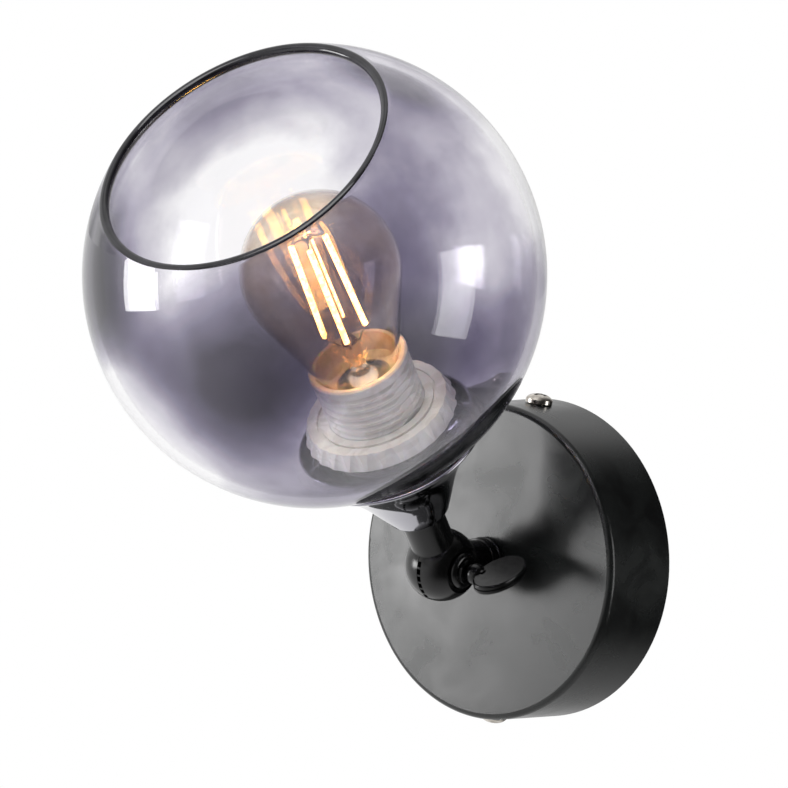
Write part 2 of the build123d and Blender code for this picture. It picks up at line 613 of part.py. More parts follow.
# ---------------------------------------------------------------- lamp head, along its axis from the ball
def flare_point(turn, inset):
    """Point (radius, height) on the cup's flare after a turn from the cone, moved in by inset."""
    cone = radians(CUP_CONE_ANGLE)
    start = (
        CUP_FOOT_RADIUS + CUP_CONE_LENGTH * sin(cone) / cos(cone),
        HEAD_NECK_LENGTH + CUP_CONE_LENGTH,
    )
    middle = (start[0] + CUP_FLARE_RADIUS * cos(cone), start[1] - CUP_FLARE_RADIUS * sin(cone))
    angle = cone + radians(turn)
    reach = CUP_FLARE_RADIUS + inset
    return (middle[0] - reach * cos(angle), middle[1] + reach * sin(angle))


def shade_cup():
    """Spun trumpet cup: a rounded foot on the neck and a cone that flares to a rim under the globe."""
    half_turn = CUP_FLARE_TURN / 2
    outer = [flare_point(turn, 0) for turn in (0, half_turn, CUP_FLARE_TURN)]
    inner = [flare_point(turn, CUP_WALL) for turn in (0, half_turn, CUP_FLARE_TURN)]
    lip = flare_point(CUP_FLARE_TURN + 0.5, CUP_WALL / 2)
    cone = radians(CUP_CONE_ANGLE)
    floor = HEAD_NECK_LENGTH + CUP_WALL
    floor_radius = CUP_FOOT_RADIUS + CUP_WALL * sin(cone) / cos(cone) - CUP_WALL / cos(cone)
    bore = PIPE_RADIUS + PASS_GAP
    return turned(
        FilletPolyline(inner[0], (floor_radius, floor), (bore, floor), radius=CUP_FOOT_ROUND - CUP_WALL),
        Line((bore, floor), (bore, HEAD_NECK_LENGTH)),
        FilletPolyline((bore, HEAD_NECK_LENGTH), (CUP_FOOT_RADIUS, HEAD_NECK_LENGTH), outer[0],
                       radius=CUP_FOOT_ROUND),
        ThreePointArc(*outer),
        ThreePointArc(outer[2], lip, inner[2]),
        ThreePointArc(*reversed(inner)),
    )


def cup_spacer():
    """Short tube in the cup's narrow foot, under the nut."""
    start = HEAD_NECK_LENGTH + CUP_WALL
    return pipe(SPACER_RADIUS, PIPE_RADIUS + PASS_GAP, start, start + SPACER_LENGTH)


def cup_lock_washer():
    """Toothed washer between the spacer and the nut."""
    outer = LOCK_WASHER_RADIUS - 0.4
    bore = PIPE_RADIUS + PASS_GAP
    return toothed_washer(outer, bore, washer_at, LOCK_WASHER_THICKNESS, LOCK_WASHER_TEETH)


def cup_nut():
    """Nut that clamps the cup on the neck."""
    return hex_nut(NUT_ACROSS, PIPE_RADIUS + THREAD_GAP, washer_at + LOCK_WASHER_THICKNESS, NUT_THICKNESS)


def head_pipe():
    """Threaded pipe from the neck, through the cup, into the lampholder."""
    return pipe(PIPE_RADIUS, PIPE_BORE, NECK_TAP_START + 0.3, pipe_top)


def holder_cap():
    """Lower shell of the lampholder, screwed on the pipe."""
    inner = HOLDER_CAP_RADIUS - HOLDER_CAP_WALL
    start, end = HOLDER_START, holder_joint
    cap = turned_points(
        (0, start), (HOLDER_CAP_RADIUS - HOLDER_CAP_CHAMFER, start),
        (HOLDER_CAP_RADIUS, start + HOLDER_CAP_CHAMFER), (HOLDER_CAP_RADIUS, end), (inner, end),
        (inner, start + HOLDER_CAP_FLOOR), (HOLDER_BOSS_RADIUS, start + HOLDER_CAP_FLOOR),
        (HOLDER_BOSS_RADIUS, start + HOLDER_BOSS_LENGTH), (0, start + HOLDER_BOSS_LENGTH),
    )
    return cap - rod(PIPE_RADIUS + THREAD_GAP, start - 1, start + HOLDER_BOSS_LENGTH + 1)


def holder_shell():
    """Upper shell of the lampholder: flange, coarse outer thread with two flats, and the bulb's well."""
    root = HOLDER_CREST_RADIUS - HOLDER_THREAD_DEPTH
    spigot = HOLDER_CAP_RADIUS - HOLDER_CAP_WALL - THREAD_GAP
    rim_start = holder_rim - HOLDER_RIM_HEIGHT
    ridges = ridge_outline(root, HOLDER_CREST_RADIUS, HOLDER_THREAD_PITCH, holder_seat, rim_start)
    outside = turned_points(
        (0, holder_joint - HOLDER_SPIGOT_LENGTH), (spigot, holder_joint - HOLDER_SPIGOT_LENGTH),
        (spigot, holder_joint), (HOLDER_FLANGE_RADIUS, holder_joint), (HOLDER_FLANGE_RADIUS, holder_seat),
        *ridges, (HOLDER_RIM_RADIUS, rim_start + 0.4), (HOLDER_RIM_RADIUS, holder_rim - 0.5),
        (HOLDER_RIM_RADIUS - 0.5, holder_rim), (0, holder_rim),
    )
    flats = block(HOLDER_FLATS, 4 * HOLDER_CREST_RADIUS, holder_seat, rim_start)
    flats += rod(HOLDER_FLANGE_RADIUS + 1, 0, holder_seat)
    outside &= flats + rod(HOLDER_FLANGE_RADIUS, rim_start, holder_rim)
    floor = holder_joint + HOLDER_FLOOR
    mouth = holder_rim - HOLDER_MOUTH_DEPTH
    step = skirt_start - SKIRT_GAP
    sleeve = contact_outer + THREAD_GAP
    well = turned_points(
        (0, floor), (sleeve, floor), (sleeve, step), (well_radius, step),
        (well_radius, mouth - HOLDER_MOUTH_CONE), (HOLDER_MOUTH_RADIUS, mouth),
        (HOLDER_MOUTH_RADIUS, holder_rim + 1), (0, holder_rim + 1),
    )
    underside = holder_joint - HOLDER_SPIGOT_LENGTH
    cavity = rod(spigot - 1.2, underside - 1, holder_joint - 0.2)
    tab_slot = block(1.0, CONTACT_TAB_WIDTH + 0.4, underside, floor + 1, x=-(sleeve - 0.4))
    rivet_hole = rod(RIVET_RADIUS + THREAD_GAP, underside, floor + 1, x=TERMINAL_OFFSET - 1.6)
    return outside - well - cavity - tab_slot - rivet_hole


def screw_contact():
    """Brass shell that takes the bulb's cap, with a tab down to its terminal."""
    start = holder_joint + HOLDER_FLOOR + CONTACT_STRIP_THICKNESS + 1.6
    shell = pipe(contact_outer, contact_inner, start, start + CONTACT_SHELL_LENGTH)
    tab_foot = holder_joint - HOLDER_SPIGOT_LENGTH + 3.3
    tab_at = contact_outer - CONTACT_SHELL_WALL / 2 - BULB_GAP
    tab = block(CONTACT_SHELL_WALL, CONTACT_TAB_WIDTH, tab_foot, start + 1.5, x=-tab_at)
    return shell + tab


def centre_contact():
    """Brass strip under the bulb's tip, riveted through the floor."""
    floor = holder_joint + HOLDER_FLOOR
    strip = block(CONTACT_STRIP_LENGTH, CONTACT_STRIP_WIDTH, floor, floor + CONTACT_STRIP_THICKNESS, x=1.2)
    rivet = rod(RIVET_RADIUS, holder_joint - 0.2, floor + CONTACT_STRIP_THICKNESS, x=TERMINAL_OFFSET - 1.6)
    return strip + rivet


def holder_terminals():
    """Two brass terminals inside the lampholder's cap."""
    top = holder_joint - 0.2
    terminals = []
    for side in (1, -1):
        x = side * TERMINAL_OFFSET
        terminal = block(TERMINAL_SIZE, TERMINAL_SIZE, top - TERMINAL_HEIGHT, top, x=x)
        terminal -= rod(WIRE_RADIUS + 0.2, top - TERMINAL_HEIGHT - 1, top - 1.5, x=x)
        tap = Rot(90, 0, 0) * Cylinder(TERMINAL_SCREW_RADIUS + THREAD_GAP, 3.2)
        terminals.append(terminal - Pos(x, -2.4, top - TERMINAL_HEIGHT / 2) * tap)
    return terminals


def holder_terminal_screws():
    """Two slotted screws that hold the wires in the lampholder's terminals."""
    middle = holder_joint - 0.2 - TERMINAL_HEIGHT / 2
    screw = Rot(90, 0, 0) * pan_screw(TERMINAL_SCREW_HEAD, 1.3, TERMINAL_SCREW_RADIUS, 1.0, crossed=False)
    return [Pos(side * TERMINAL_OFFSET, -TERMINAL_SIZE / 2 - 0.1, middle) * screw for side in (1, -1)]


def glass_gasket():
    """Silicone ring between the lampholder's flange and the globe."""
    return pipe(GASKET_RADIUS, HOLDER_CREST_RADIUS + PASS_GAP, holder_seat, land_at)


def tangent_turn(radius, land_radius, drop):
    """Angle from the bottom at which a line from the land's edge runs into the sphere."""
    return atan2(land_radius, drop) + acos(radius / hypot(land_radius, drop))


def flattened_sphere(radius, land_radius, drop):
    """Sphere about the origin with a flat round land at its bottom and a cone that joins the two."""
    turn = tangent_turn(radius, land_radius, drop)
    touch = (radius * sin(turn), -radius * cos(turn))
    side = (radius * cos(0.3), radius * sin(0.3))
    return turned(
        Polyline((0, radius), (0, -drop), (land_radius, -drop), touch),
        ThreePointArc(touch, side, (0, radius)),
    )


def globe_glass():
    """Smoked glass globe: a flat land round a hole, and a slanted open mouth with a rounded bead."""
    outer = flattened_sphere(GLOBE_RADIUS, GLOBE_LAND_RADIUS, land_drop)
    lean = tangent_turn(GLOBE_RADIUS, GLOBE_LAND_RADIUS, land_drop)
    floor_radius = GLOBE_LAND_RADIUS - GLOBE_WALL * tan(lean / 2)
    inner = flattened_sphere(GLOBE_RADIUS - GLOBE_WALL, floor_radius, land_drop - GLOBE_WALL)
    room = 4 * GLOBE_RADIUS
    middle_radius = GLOBE_RADIUS - GLOBE_WALL / 2
    mouth_out = sqrt(middle_radius**2 - MOUTH_RADIUS**2)
    slant = Rot(MOUTH_SLANT, 0, 0)
    beyond = slant * block(room, room, mouth_out, mouth_out + room)
    bead = slant * Pos(0, 0, mouth_out) * Torus(MOUTH_RADIUS, MOUTH_BEAD_RADIUS)
    glass = Pos(0, -GLOBE_SHIFT, globe_centre) * (outer - inner - beyond + bead)
    return glass - rod(hole_in_glass, 0, globe_centre)


def shade_ring():
    """Scalloped ring nut that clamps the globe on the lampholder's flange."""
    bore = HOLDER_CREST_RADIUS + THREAD_GAP + 0.03
    top = ring_start + RING_HEIGHT
    ring = turned_points(
        (bore, ring_start), (RING_FOOT_RADIUS, ring_start), (RING_RADIUS, ring_start + RING_FOOT_HEIGHT),
        (RING_RADIUS, ring_start + RING_FOOT_HEIGHT + 0.6), (RING_TOP_RADIUS, top), (bore, top),
    )
    groove = pipe(RING_GROOVE_RADIUS + RING_GROOVE_WIDTH / 2, RING_GROOVE_RADIUS - RING_GROOVE_WIDTH / 2,
                  top - RING_GROOVE_DEPTH, top + 1)
    lean = asin((RING_RADIUS - RING_TOP_RADIUS) / RING_HEIGHT)
    flute_at = RING_RADIUS + SCALLOP_RADIUS - SCALLOP_DEPTH
    along_side = Pos(flute_at, 0, ring_start + RING_FOOT_HEIGHT) * Rot(0, -degrees(lean), 0)
    flute = along_side * Cylinder(SCALLOP_RADIUS, 4 * RING_HEIGHT)
    return ring - groove - [Rot(0, 0, 360 / RING_SCALLOPS * turn) * flute for turn in range(RING_SCALLOPS)]


# ---------------------------------------------------------------- bulb
def bulb_outline(inset):
    """Edges of the pear from the neck's foot up to its top, moved in by inset, and its two end points."""
    cone = radians(BULB_CONE_ANGLE)
    radius = BULB_RADIUS - inset
    touch = (radius * cos(cone), BULB_CENTRE - radius * sin(cone))
    knee_height = skirt_end + 2.2
    knee = (touch[0] - (touch[1] - knee_height) * sin(cone) / cos(cone), knee_height)
    foot = (BULB_NECK_RADIUS - inset, skirt_end - 1.5)
    top = (0, BULB_CENTRE + radius)
    side = (radius * cos(radians(35)), BULB_CENTRE + radius * sin(radians(35)))
    neck_end = (BULB_NECK_RADIUS - inset, skirt_end)
    return foot, top, [Polyline(foot, neck_end, knee, touch), ThreePointArc(touch, side, top)]


def bulb_glass():
    """Clear pear-shaped envelope, open at its neck."""
    foot, top, outside = bulb_outline(0)
    inner_foot, inner_top, inside = bulb_outline(BULB_GLASS)
    return turned(*outside, Line(top, inner_top), *inside, Line(inner_foot, foot))


def filament_foot():
    """Height of the filaments' lower ends."""
    return BULB_CENTRE + FILAMENT_ABOVE_CENTRE - FILAMENT_LENGTH


def bulb_stem():
    """Glass stem with its flare in the neck, a tube, and a thin rod up to a hub."""
    foot = skirt_end - 1.0
    flare = BULB_NECK_RADIUS - BULB_GLASS - SEAT_GAP
    press = filament_foot() - 4.0
    hub = BULB_CENTRE + FILAMENT_ABOVE_CENTRE + 1.2
    stem = turned_points(
        (0, foot), (flare, foot), (flare - 0.8, foot + 1.4),
        (STEM_TUBE_RADIUS + 0.4, foot + 4.0), (STEM_TUBE_RADIUS, foot + 5.5), (STEM_TUBE_RADIUS, press),
        (STEM_ROD_RADIUS, press + 3.0), (STEM_ROD_RADIUS, hub - 0.8), (STEM_HUB_RADIUS, hub - 0.5),
        (STEM_HUB_RADIUS, hub + 0.5), (STEM_ROD_RADIUS, hub + 1.0), (0, hub + 1.0),
    )
    return stem


def around(spread, height, turn):
    """Point on a circle about the bulb's axis."""
    angle = radians(45 + 360 / FILAMENT_COUNT * turn)
    return Vector(spread * cos(angle), spread * sin(angle), height)


def straight(start, end, radius):
    """Round rod between two points."""
    run = end - start
    return extrude(Plane(origin=start, z_dir=run) * Circle(radius), run.length)


def bulb_filaments():
    """Upright light-emitting filaments round the stem."""
    low = filament_foot()
    high = low + FILAMENT_LENGTH
    filaments = []
    for turn in range(FILAMENT_COUNT):
        foot = around(FILAMENT_FOOT_SPREAD, low, turn)
        top = around(FILAMENT_TOP_SPREAD, high, turn)
        filaments.append(straight(foot, top, FILAMENT_RADIUS))
    return filaments


def bulb_supports():
    """Thin wires from the stem's press and hub to the filaments' ends."""
    low = filament_foot()
    high = low + FILAMENT_LENGTH
    wires = []
    for turn in range(FILAMENT_COUNT):
        foot = around(FILAMENT_FOOT_SPREAD, low - 0.1, turn)
        press = around(STEM_TUBE_RADIUS + 0.4, low - 4.5, turn)
        wires.append(straight(press, foot, SUPPORT_RADIUS))
        top = around(FILAMENT_TOP_SPREAD, high + 0.45, turn)
        hub = around(STEM_HUB_RADIUS + 0.1, high + 1.2, turn)
        wires.append(straight(hub, top, SUPPORT_RADIUS))
    return wires


def bulb_cap():
    """Nickel-plated screw cap with a plain skirt round the glass."""
    crest = CAP_THREAD_RADIUS
    root = crest - CAP_THREAD_DEPTH
    outer = ridge_outline(root, crest, CAP_THREAD_PITCH, thread_start, skirt_start)
    inner = [(radius - CAP_WALL, height) for radius, height in reversed(outer)]
    skirt_inner = BULB_NECK_RADIUS + 0.05
    return turned_points(
        *outer, (CAP_SKIRT_RADIUS - 0.4, skirt_start), (CAP_SKIRT_RADIUS, skirt_start + 0.4),
        (CAP_SKIRT_RADIUS, skirt_end), (skirt_inner, skirt_end), (skirt_inner, skirt_start + 0.6), *inner,
    )


def bulb_insulator():
    """Dark insulating button at the cap's end."""
    outer = CAP_THREAD_RADIUS - CAP_THREAD_DEPTH
    low = cap_start + TIP_HEIGHT
    return turned_points(
        (0, low), (TIP_RADIUS + 0.3, low), (outer - 0.8, thread_start - 0.6), (outer - 0.1, thread_start),
        (0, thread_start),
    )


def bulb_tip():
    """Soldered centre contact."""
    end = cap_start + TIP_HEIGHT
    return turned(
        Polyline((TIP_RADIUS, end - 0.2), (TIP_RADIUS, end), (0, end), (0, cap_start)),
        ThreePointArc((0, cap_start), (TIP_RADIUS * 0.7, cap_start + 0.25), (TIP_RADIUS, end - 0.2)),
    )


def bulb_driver():
    """Small driver board inside the cap."""
    foot = thread_start
    board = block(DRIVER_WIDTH, DRIVER_THICKNESS, foot, foot + DRIVER_LENGTH)
    choke = block(3.2, 2.4, foot + 1.5, foot + 4.5, x=-1.8, y=1.6)
    capacitor = rod(1.7, foot + 5.0, foot + 9.0, x=1.6, y=2.1)
    return board + choke + capacitor


# ---------------------------------------------------------------- wires
def canopy_wire(side):
    """Wire from a clamp of the terminal block, through the wall-side pipe, into the ball."""
    pole_out = BRACKET_THICKNESS + CLAMP_OUT
    pole = side * POLE_SPACING / 2
    leave = -BLOCK_DOWN + CLAMP_LENGTH / 2
    pipe_end = CANOPY_DEPTH - CANOPY_WALL - STEM_INSIDE
    y = side * WIRE_SPREAD
    past_bushing = pipe_end + BUSHING_LENGTH + 0.5
    in_bushing = -(WIRE_ASIDE - BUSHING_WALL - 0.85)
    return wire(
        [
            (pole, leave - 3.0, pole_out), (pole, leave + 2.2, pole_out),
            (in_bushing, y, pipe_end - 3.5), (in_bushing, y, past_bushing),
            (-WIRE_ASIDE, y, past_bushing + 3.0), (-WIRE_ASIDE, y, BALL_OUT - PIVOT_BOSS_RADIUS - 1.4),
        ],
        bend=WIRE_BEND,
    )


def head_wire(side):
    """Wire from the ball, through the head's pipe, to a terminal of the lampholder."""
    y = side * WIRE_SPREAD
    terminal = holder_joint - 0.2 - TERMINAL_HEIGHT
    over_boss = HOLDER_START + HOLDER_BOSS_LENGTH + WIRE_RADIUS + 0.5
    return wire(
        [
            (WIRE_ASIDE, y, PIVOT_BOSS_RADIUS + 1.4), (WIRE_ASIDE, y, over_boss),
            (side * TERMINAL_OFFSET, 0, over_boss), (side * TERMINAL_OFFSET, 0, terminal + 2.4),
        ],
        bend=WIRE_BEND,
    )


# ---------------------------------------------------------------- nodes
def node_shapes():
    """Every node by name, placed in the lamp's own frame."""
    wall_side = {
        "canopy_cover": canopy_cover(),
        "wall_bracket": wall_bracket(),
        "canopy_screws": canopy_screws(),
        "earth_screw": earth_screw(),
        "earth_washer": earth_washer(),
        "earth_lead": earth_lead(),
        "terminal_block": terminal_block(),
        "terminal_clamps": terminal_clamps(),
        "terminal_screws": terminal_screws(),
        "block_screw": block_screw(),
        "canopy_live_wire": canopy_wire(1),
        "canopy_neutral_wire": canopy_wire(-1),
    }
    post = {
        "stem_pipe": stem_pipe(),
        "stem_nut": stem_nut(),
        "stem_lock_washer": stem_lock_washer(),
        "pipe_bushing": pipe_bushing(),
        "post_collar": post_collar(),
        "knuckle_base": knuckle_base(),
    }
    lamp = {
        "knuckle_head": knuckle_head(),
        "head_pipe": head_pipe(),
        "shade_cup": shade_cup(),
        "cup_spacer": cup_spacer(),
        "cup_lock_washer": cup_lock_washer(),
        "cup_nut": cup_nut(),
        "holder_cap": holder_cap(),
        "holder_shell": holder_shell(),
        "screw_contact": screw_contact(),
        "centre_contact": centre_contact(),
        "holder_terminals": holder_terminals(),
        "holder_terminal_screws": holder_terminal_screws(),
        "glass_gasket": glass_gasket(),
        "globe_glass": globe_glass(),
        "head_live_wire": head_wire(1),
        "head_neutral_wire": head_wire(-1),
        "shade_ring": shade_ring(),
        "bulb_glass": bulb_glass(),
        "bulb_stem": bulb_stem(),
        "bulb_filaments": bulb_filaments(),
        "bulb_supports": bulb_supports(),
        "bulb_cap": bulb_cap(),
        "bulb_insulator": bulb_insulator(),
        "bulb_tip": bulb_tip(),
        "bulb_driver": bulb_driver(),
    }
    pivot = {
        "cup_washer": cup_washer(),
        "spring_washer": spring_washer(),
        "thumb_screw": thumb_screw(),
    }
    placed = {}
    groups = ((wall_frame, wall_side), (post_frame, post), (lamp_frame, lamp), (pivot_frame, pivot))
    for frame, group in groups:
        for name, shape in group.items():
            pieces = shape if isinstance(shape, list) else [shape]
            solids = [frame.location * solid for piece in pieces for solid in piece.solids()]
            placed[name] = Compound(children=solids)
    return placed


def write_parts():
    """Writes one STEP file for each node."""
    os.makedirs("parts", exist_ok=True)
    for name, shape in node_shapes().items():
        export_step(shape, f"parts/{name}.step")


write_parts()
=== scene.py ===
"""Dresses the globe wall sconce: its glass, its finishes, the studio round it and the camera."""

import json
import logging
import math
from dataclasses import dataclass
from enum import Enum
from typing import Optional, Sequence, Union

import bpy
from mathutils import Matrix, Vector


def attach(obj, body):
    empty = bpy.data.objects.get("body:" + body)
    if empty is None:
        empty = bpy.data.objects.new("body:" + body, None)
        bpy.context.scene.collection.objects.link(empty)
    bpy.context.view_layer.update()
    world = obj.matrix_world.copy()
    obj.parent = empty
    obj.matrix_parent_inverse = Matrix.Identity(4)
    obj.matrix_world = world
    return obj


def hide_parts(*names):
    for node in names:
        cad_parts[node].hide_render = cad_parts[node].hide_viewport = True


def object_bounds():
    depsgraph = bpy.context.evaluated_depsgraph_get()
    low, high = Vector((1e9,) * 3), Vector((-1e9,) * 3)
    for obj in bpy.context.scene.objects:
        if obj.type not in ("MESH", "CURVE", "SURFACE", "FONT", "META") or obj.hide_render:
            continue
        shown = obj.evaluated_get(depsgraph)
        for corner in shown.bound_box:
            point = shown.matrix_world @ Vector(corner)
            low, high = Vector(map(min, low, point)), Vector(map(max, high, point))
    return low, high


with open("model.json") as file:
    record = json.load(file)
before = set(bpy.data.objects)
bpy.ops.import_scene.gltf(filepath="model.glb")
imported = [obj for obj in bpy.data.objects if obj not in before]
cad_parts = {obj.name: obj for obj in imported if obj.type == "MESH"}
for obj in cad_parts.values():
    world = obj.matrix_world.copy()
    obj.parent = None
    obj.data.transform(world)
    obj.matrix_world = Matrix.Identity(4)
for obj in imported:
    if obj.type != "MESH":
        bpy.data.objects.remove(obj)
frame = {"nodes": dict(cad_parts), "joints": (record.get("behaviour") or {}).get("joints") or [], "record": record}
cad_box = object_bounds()

log = logging.getLogger("sconce")
logging.basicConfig(level=logging.INFO, format="%(name)s: %(message)s")

MM = 0.001
MM_PER_M = 1000
IMAGE_SIDE = 788      # of the photograph, in pixels
SENSOR_MM = 36.0
SHARP_DEGREES = 40.0  # an edge that bends by more stays sharp
NOISE_SPAN = {"From Min": 0.3, "From Max": 0.7}         # most of a noise's values
WIDE_NOISE_SPAN = {"From Min": 0.25, "From Max": 0.75}  # nearly all of them

Tree = bpy.types.NodeTree
Node = bpy.types.Node
Material = bpy.types.Material
Socket = bpy.types.NodeSocket
Setting = Union[float, Sequence[float], Socket]
Inputs = dict[Union[str, int], Setting]


class Slot(Enum):
    """The record's material slots."""

    BLACK_COAT = "black_coat"
    BLACK_CHROME = "black_chrome"
    BLACK_GLOSS = "black_gloss"
    NICKEL = "nickel"
    ZINC = "zinc"
    BRASS = "brass"
    SMOKED_GLASS = "smoked_glass"
    CLEAR_GLASS = "clear_glass"
    WHITE_PLASTIC = "white_plastic"
    PALE_PLASTIC = "pale_plastic"
    SILICONE = "silicone"
    BROWN_WIRE = "brown_wire"
    BLUE_WIRE = "blue_wire"
    EARTH_WIRE = "earth_wire"
    FILAMENT = "filament"
    DARK_GLAZE = "dark_glaze"
    SOLDER = "solder"
    CIRCUIT_BOARD = "circuit_board"


# -------- node and colour helpers
def linear(colour: str) -> tuple[float, float, float, float]:
    """Turns an sRGB hex colour into linear red, green, blue and alpha.

    Args:
        colour: six hex digits after a hash, such as "#1a1b1c".

    Returns:
        The four linear channels, with alpha at 1.
    """
    channels = [int(colour[i : i + 2], 16) / 255 for i in (1, 3, 5)]
    straight = [c / 12.92 if c <= 0.04045 else ((c + 0.055) / 1.055) ** 2.4 for c in channels]
    return (straight[0], straight[1], straight[2], 1.0)


def feed(node: Node, inputs: Inputs) -> None:
    """Sets a node's inputs.

    Args:
        node: the node.
        inputs: for each input's name or number, its value or the output that feeds it.
    """
    for key, value in inputs.items():
        if isinstance(value, Socket):
            node.id_data.links.new(value, node.inputs[key])
        else:
            node.inputs[key].default_value = value


def add(tree: Tree, kind: str, inputs: Optional[Inputs] = None, **settings: object) -> Node:
    """Adds a node with its settings, its input values and its links.

    Args:
        tree: the material's or the world's node tree.
        kind: the node's type name.
        inputs: for each input's name or number, its value or the output that feeds it.
        **settings: the node's own properties.

    Returns:
        The new node.
    """
    node = tree.nodes.new(kind)
    for name, value in settings.items():
        setattr(node, name, value)
    feed(node, inputs or {})
    return node


def ramp(node: Node, stops: Sequence[tuple[float, str]]) -> Socket:
    """Sets the stops of a colour ramp.

    Args:
        node: the colour ramp.
        stops: each stop's position and hex colour, in order.

    Returns:
        The ramp's colour output.
    """
    elements = node.color_ramp.elements
    elements[0].position, elements[1].position = stops[0][0], stops[-1][0]
    elements[0].color, elements[1].color = linear(stops[0][1]), linear(stops[-1][1])
    for position, colour in stops[1:-1]:
        elements.new(position).color = linear(colour)
    return node.outputs["Color"]


# -------- finishes
@dataclass(frozen=True)
class Finish:
    """A real surface: what it is made of and how it was made, as a named material."""

    name: str

    def make(self) -> Material:
        """Builds the material round a principled shader.

        Returns:
            The finished material.
        """
        material = bpy.data.materials.new(self.name)
        material.use_nodes = True
        tree = material.node_tree
        tree.nodes.clear()
        shader = add(tree, "ShaderNodeBsdfPrincipled")
        add(tree, "ShaderNodeOutputMaterial", {"Surface": shader.outputs["BSDF"]})
        feed(shader, self.inputs(tree, add(tree, "ShaderNodeTexCoord").outputs["Object"]))
        return material

    def inputs(self, tree: Tree, place: Socket) -> Inputs:
        """Works out what the shader takes; each finish has its own way.

        Args:
            tree: the material's node tree.
            place: where the surface is, in metres.

        Returns:
            The shader's inputs.
        """
        raise NotImplementedError

    def gloss(self, tree: Tree, noise: Node, low: float, high: float) -> Socket:
        """Spreads a noise over a range of roughness.

        Args:
            tree: the material's node tree.
            noise: the noise texture.
            low: the roughness where the noise is low.
            high: the roughness where it is high.

        Returns:
            The roughness output.
        """
        return add(tree, "ShaderNodeMapRange", {"Value": noise.outputs["Fac"], **NOISE_SPAN, "To Min": low,
                                                "To Max": high}).outputs["Result"]


@dataclass(frozen=True)
class PowderCoat(Finish):
    """Satin black polyester powder coat, sprayed on drawn steel and baked.

    The powder flows out into a faint orange peel, and its gloss varies softly, which clouds what it mirrors.
    """

    colour: str = "#0b0c0c"
    cloud_colour: str = "#1d201f"
    roughness: float = 0.24
    smoother: float = 0.05
    rougher: float = 0.07
    ior: float = 1.52
    cloud_mm: float = 16.0
    peel_mm: float = 0.9
    peel_depth_mm: float = 0.004

    def inputs(self, tree: Tree, place: Socket) -> Inputs:
        """Works out the coat's clouds, its gloss and its peel.

        Args:
            tree: the material's node tree.
            place: where the surface is, in metres.

        Returns:
            The shader's inputs.
        """
        clouds = add(tree, "ShaderNodeTexNoise", {"Vector": place, "Scale": MM_PER_M / self.cloud_mm, "Detail": 4.0,
                                                  "Roughness": 0.55, "Distortion": 0.6})
        colour = ramp(add(tree, "ShaderNodeValToRGB", {"Fac": clouds.outputs["Fac"]}),
                      [(0.35, self.colour), (0.7, self.cloud_colour)])
        gloss = self.gloss(tree, clouds, self.roughness - self.smoother, self.roughness + self.rougher)
        peel = add(tree, "ShaderNodeTexNoise", {"Vector": place, "Scale": MM_PER_M / self.peel_mm, "Detail": 1.0})
        bump = add(tree, "ShaderNodeBump", {"Height": peel.outputs["Fac"], "Distance": self.peel_depth_mm * MM})
        return {"Base Color": colour, "Roughness": gloss, "Normal": bump.outputs["Normal"], "IOR": self.ior}


@dataclass(frozen=True)
class BlackNickel(Finish):
    """Black nickel, electroplated over polished steel: a dark mirror with a faint haze."""

    colour: str = "#b4b3ba"
    roughness: float = 0.05
    clearest: float = 0.7  # share of the roughness where there is no haze
    haziest: float = 1.6
    haze_mm: float = 9.0

    def inputs(self, tree: Tree, place: Socket) -> Inputs:
        """Works out the plate's haze.

        Args:
            tree: the material's node tree.
            place: where the surface is, in metres.

        Returns:
            The shader's inputs.
        """
        haze = add(tree, "ShaderNodeTexNoise", {"Vector": place, "Scale": MM_PER_M / self.haze_mm, "Detail": 3.0})
        gloss = self.gloss(tree, haze, self.roughness * self.clearest, self.roughness * self.haziest)
        return {"Base Color": linear(self.colour), "Metallic": 1.0, "Roughness": gloss}


@dataclass(frozen=True)
class BlackLacquer(Finish):
    """Gloss black stoving lacquer on die-cast zinc: deep black, with soft-edged highlights."""

    colour: str = "#060607"
    roughness: float = 0.2
    smoother: float = 0.03
    rougher: float = 0.05
    ior: float = 1.5
    flow_mm: float = 1.6
    flow_depth_mm: float = 0.006

    def inputs(self, tree: Tree, place: Socket) -> Inputs:
        """Works out how the lacquer flowed.

        Args:
            tree: the material's node tree.
            place: where the surface is, in metres.

        Returns:
            The shader's inputs.
        """
        flow = add(tree, "ShaderNodeTexNoise", {"Vector": place, "Scale": MM_PER_M / self.flow_mm, "Detail": 2.0})
        gloss = self.gloss(tree, flow, self.roughness - self.smoother, self.roughness + self.rougher)
        bump = add(tree, "ShaderNodeBump", {"Height": flow.outputs["Fac"], "Distance": self.flow_depth_mm * MM})
        return {"Base Color": linear(self.colour), "Roughness": gloss, "Normal": bump.outputs["Normal"],
                "IOR": self.ior}


@dataclass(frozen=True)
class Metal(Finish):
    """Bare or plated metal, turned, pressed or rolled, with fine marks of its making and patches of tarnish."""

    colour: str
    worn_colour: str
    roughness: float
    patch_mm: float
    mark_mm: float
    gloss_spread: float = 0.08

    def inputs(self, tree: Tree, place: Socket) -> Inputs:
        """Works out the metal's tarnish and its marks.

        Args:
            tree: the material's node tree.
            place: where the surface is, in metres.

        Returns:
            The shader's inputs.
        """
        patches = add(tree, "ShaderNodeTexNoise", {"Vector": place, "Scale": MM_PER_M / self.patch_mm, "Detail": 3.0})
        marks = add(tree, "ShaderNodeTexNoise", {"Vector": place, "Scale": MM_PER_M / self.mark_mm, "Detail": 1.0})
        colour = ramp(add(tree, "ShaderNodeValToRGB", {"Fac": patches.outputs["Fac"]}),
                      [(0.35, self.worn_colour), (0.6, self.colour)])
        gloss = self.gloss(tree, marks, self.roughness - self.gloss_spread, self.roughness + self.gloss_spread)
        return {"Base Color": colour, "Roughness": gloss, "Metallic": 1.0}


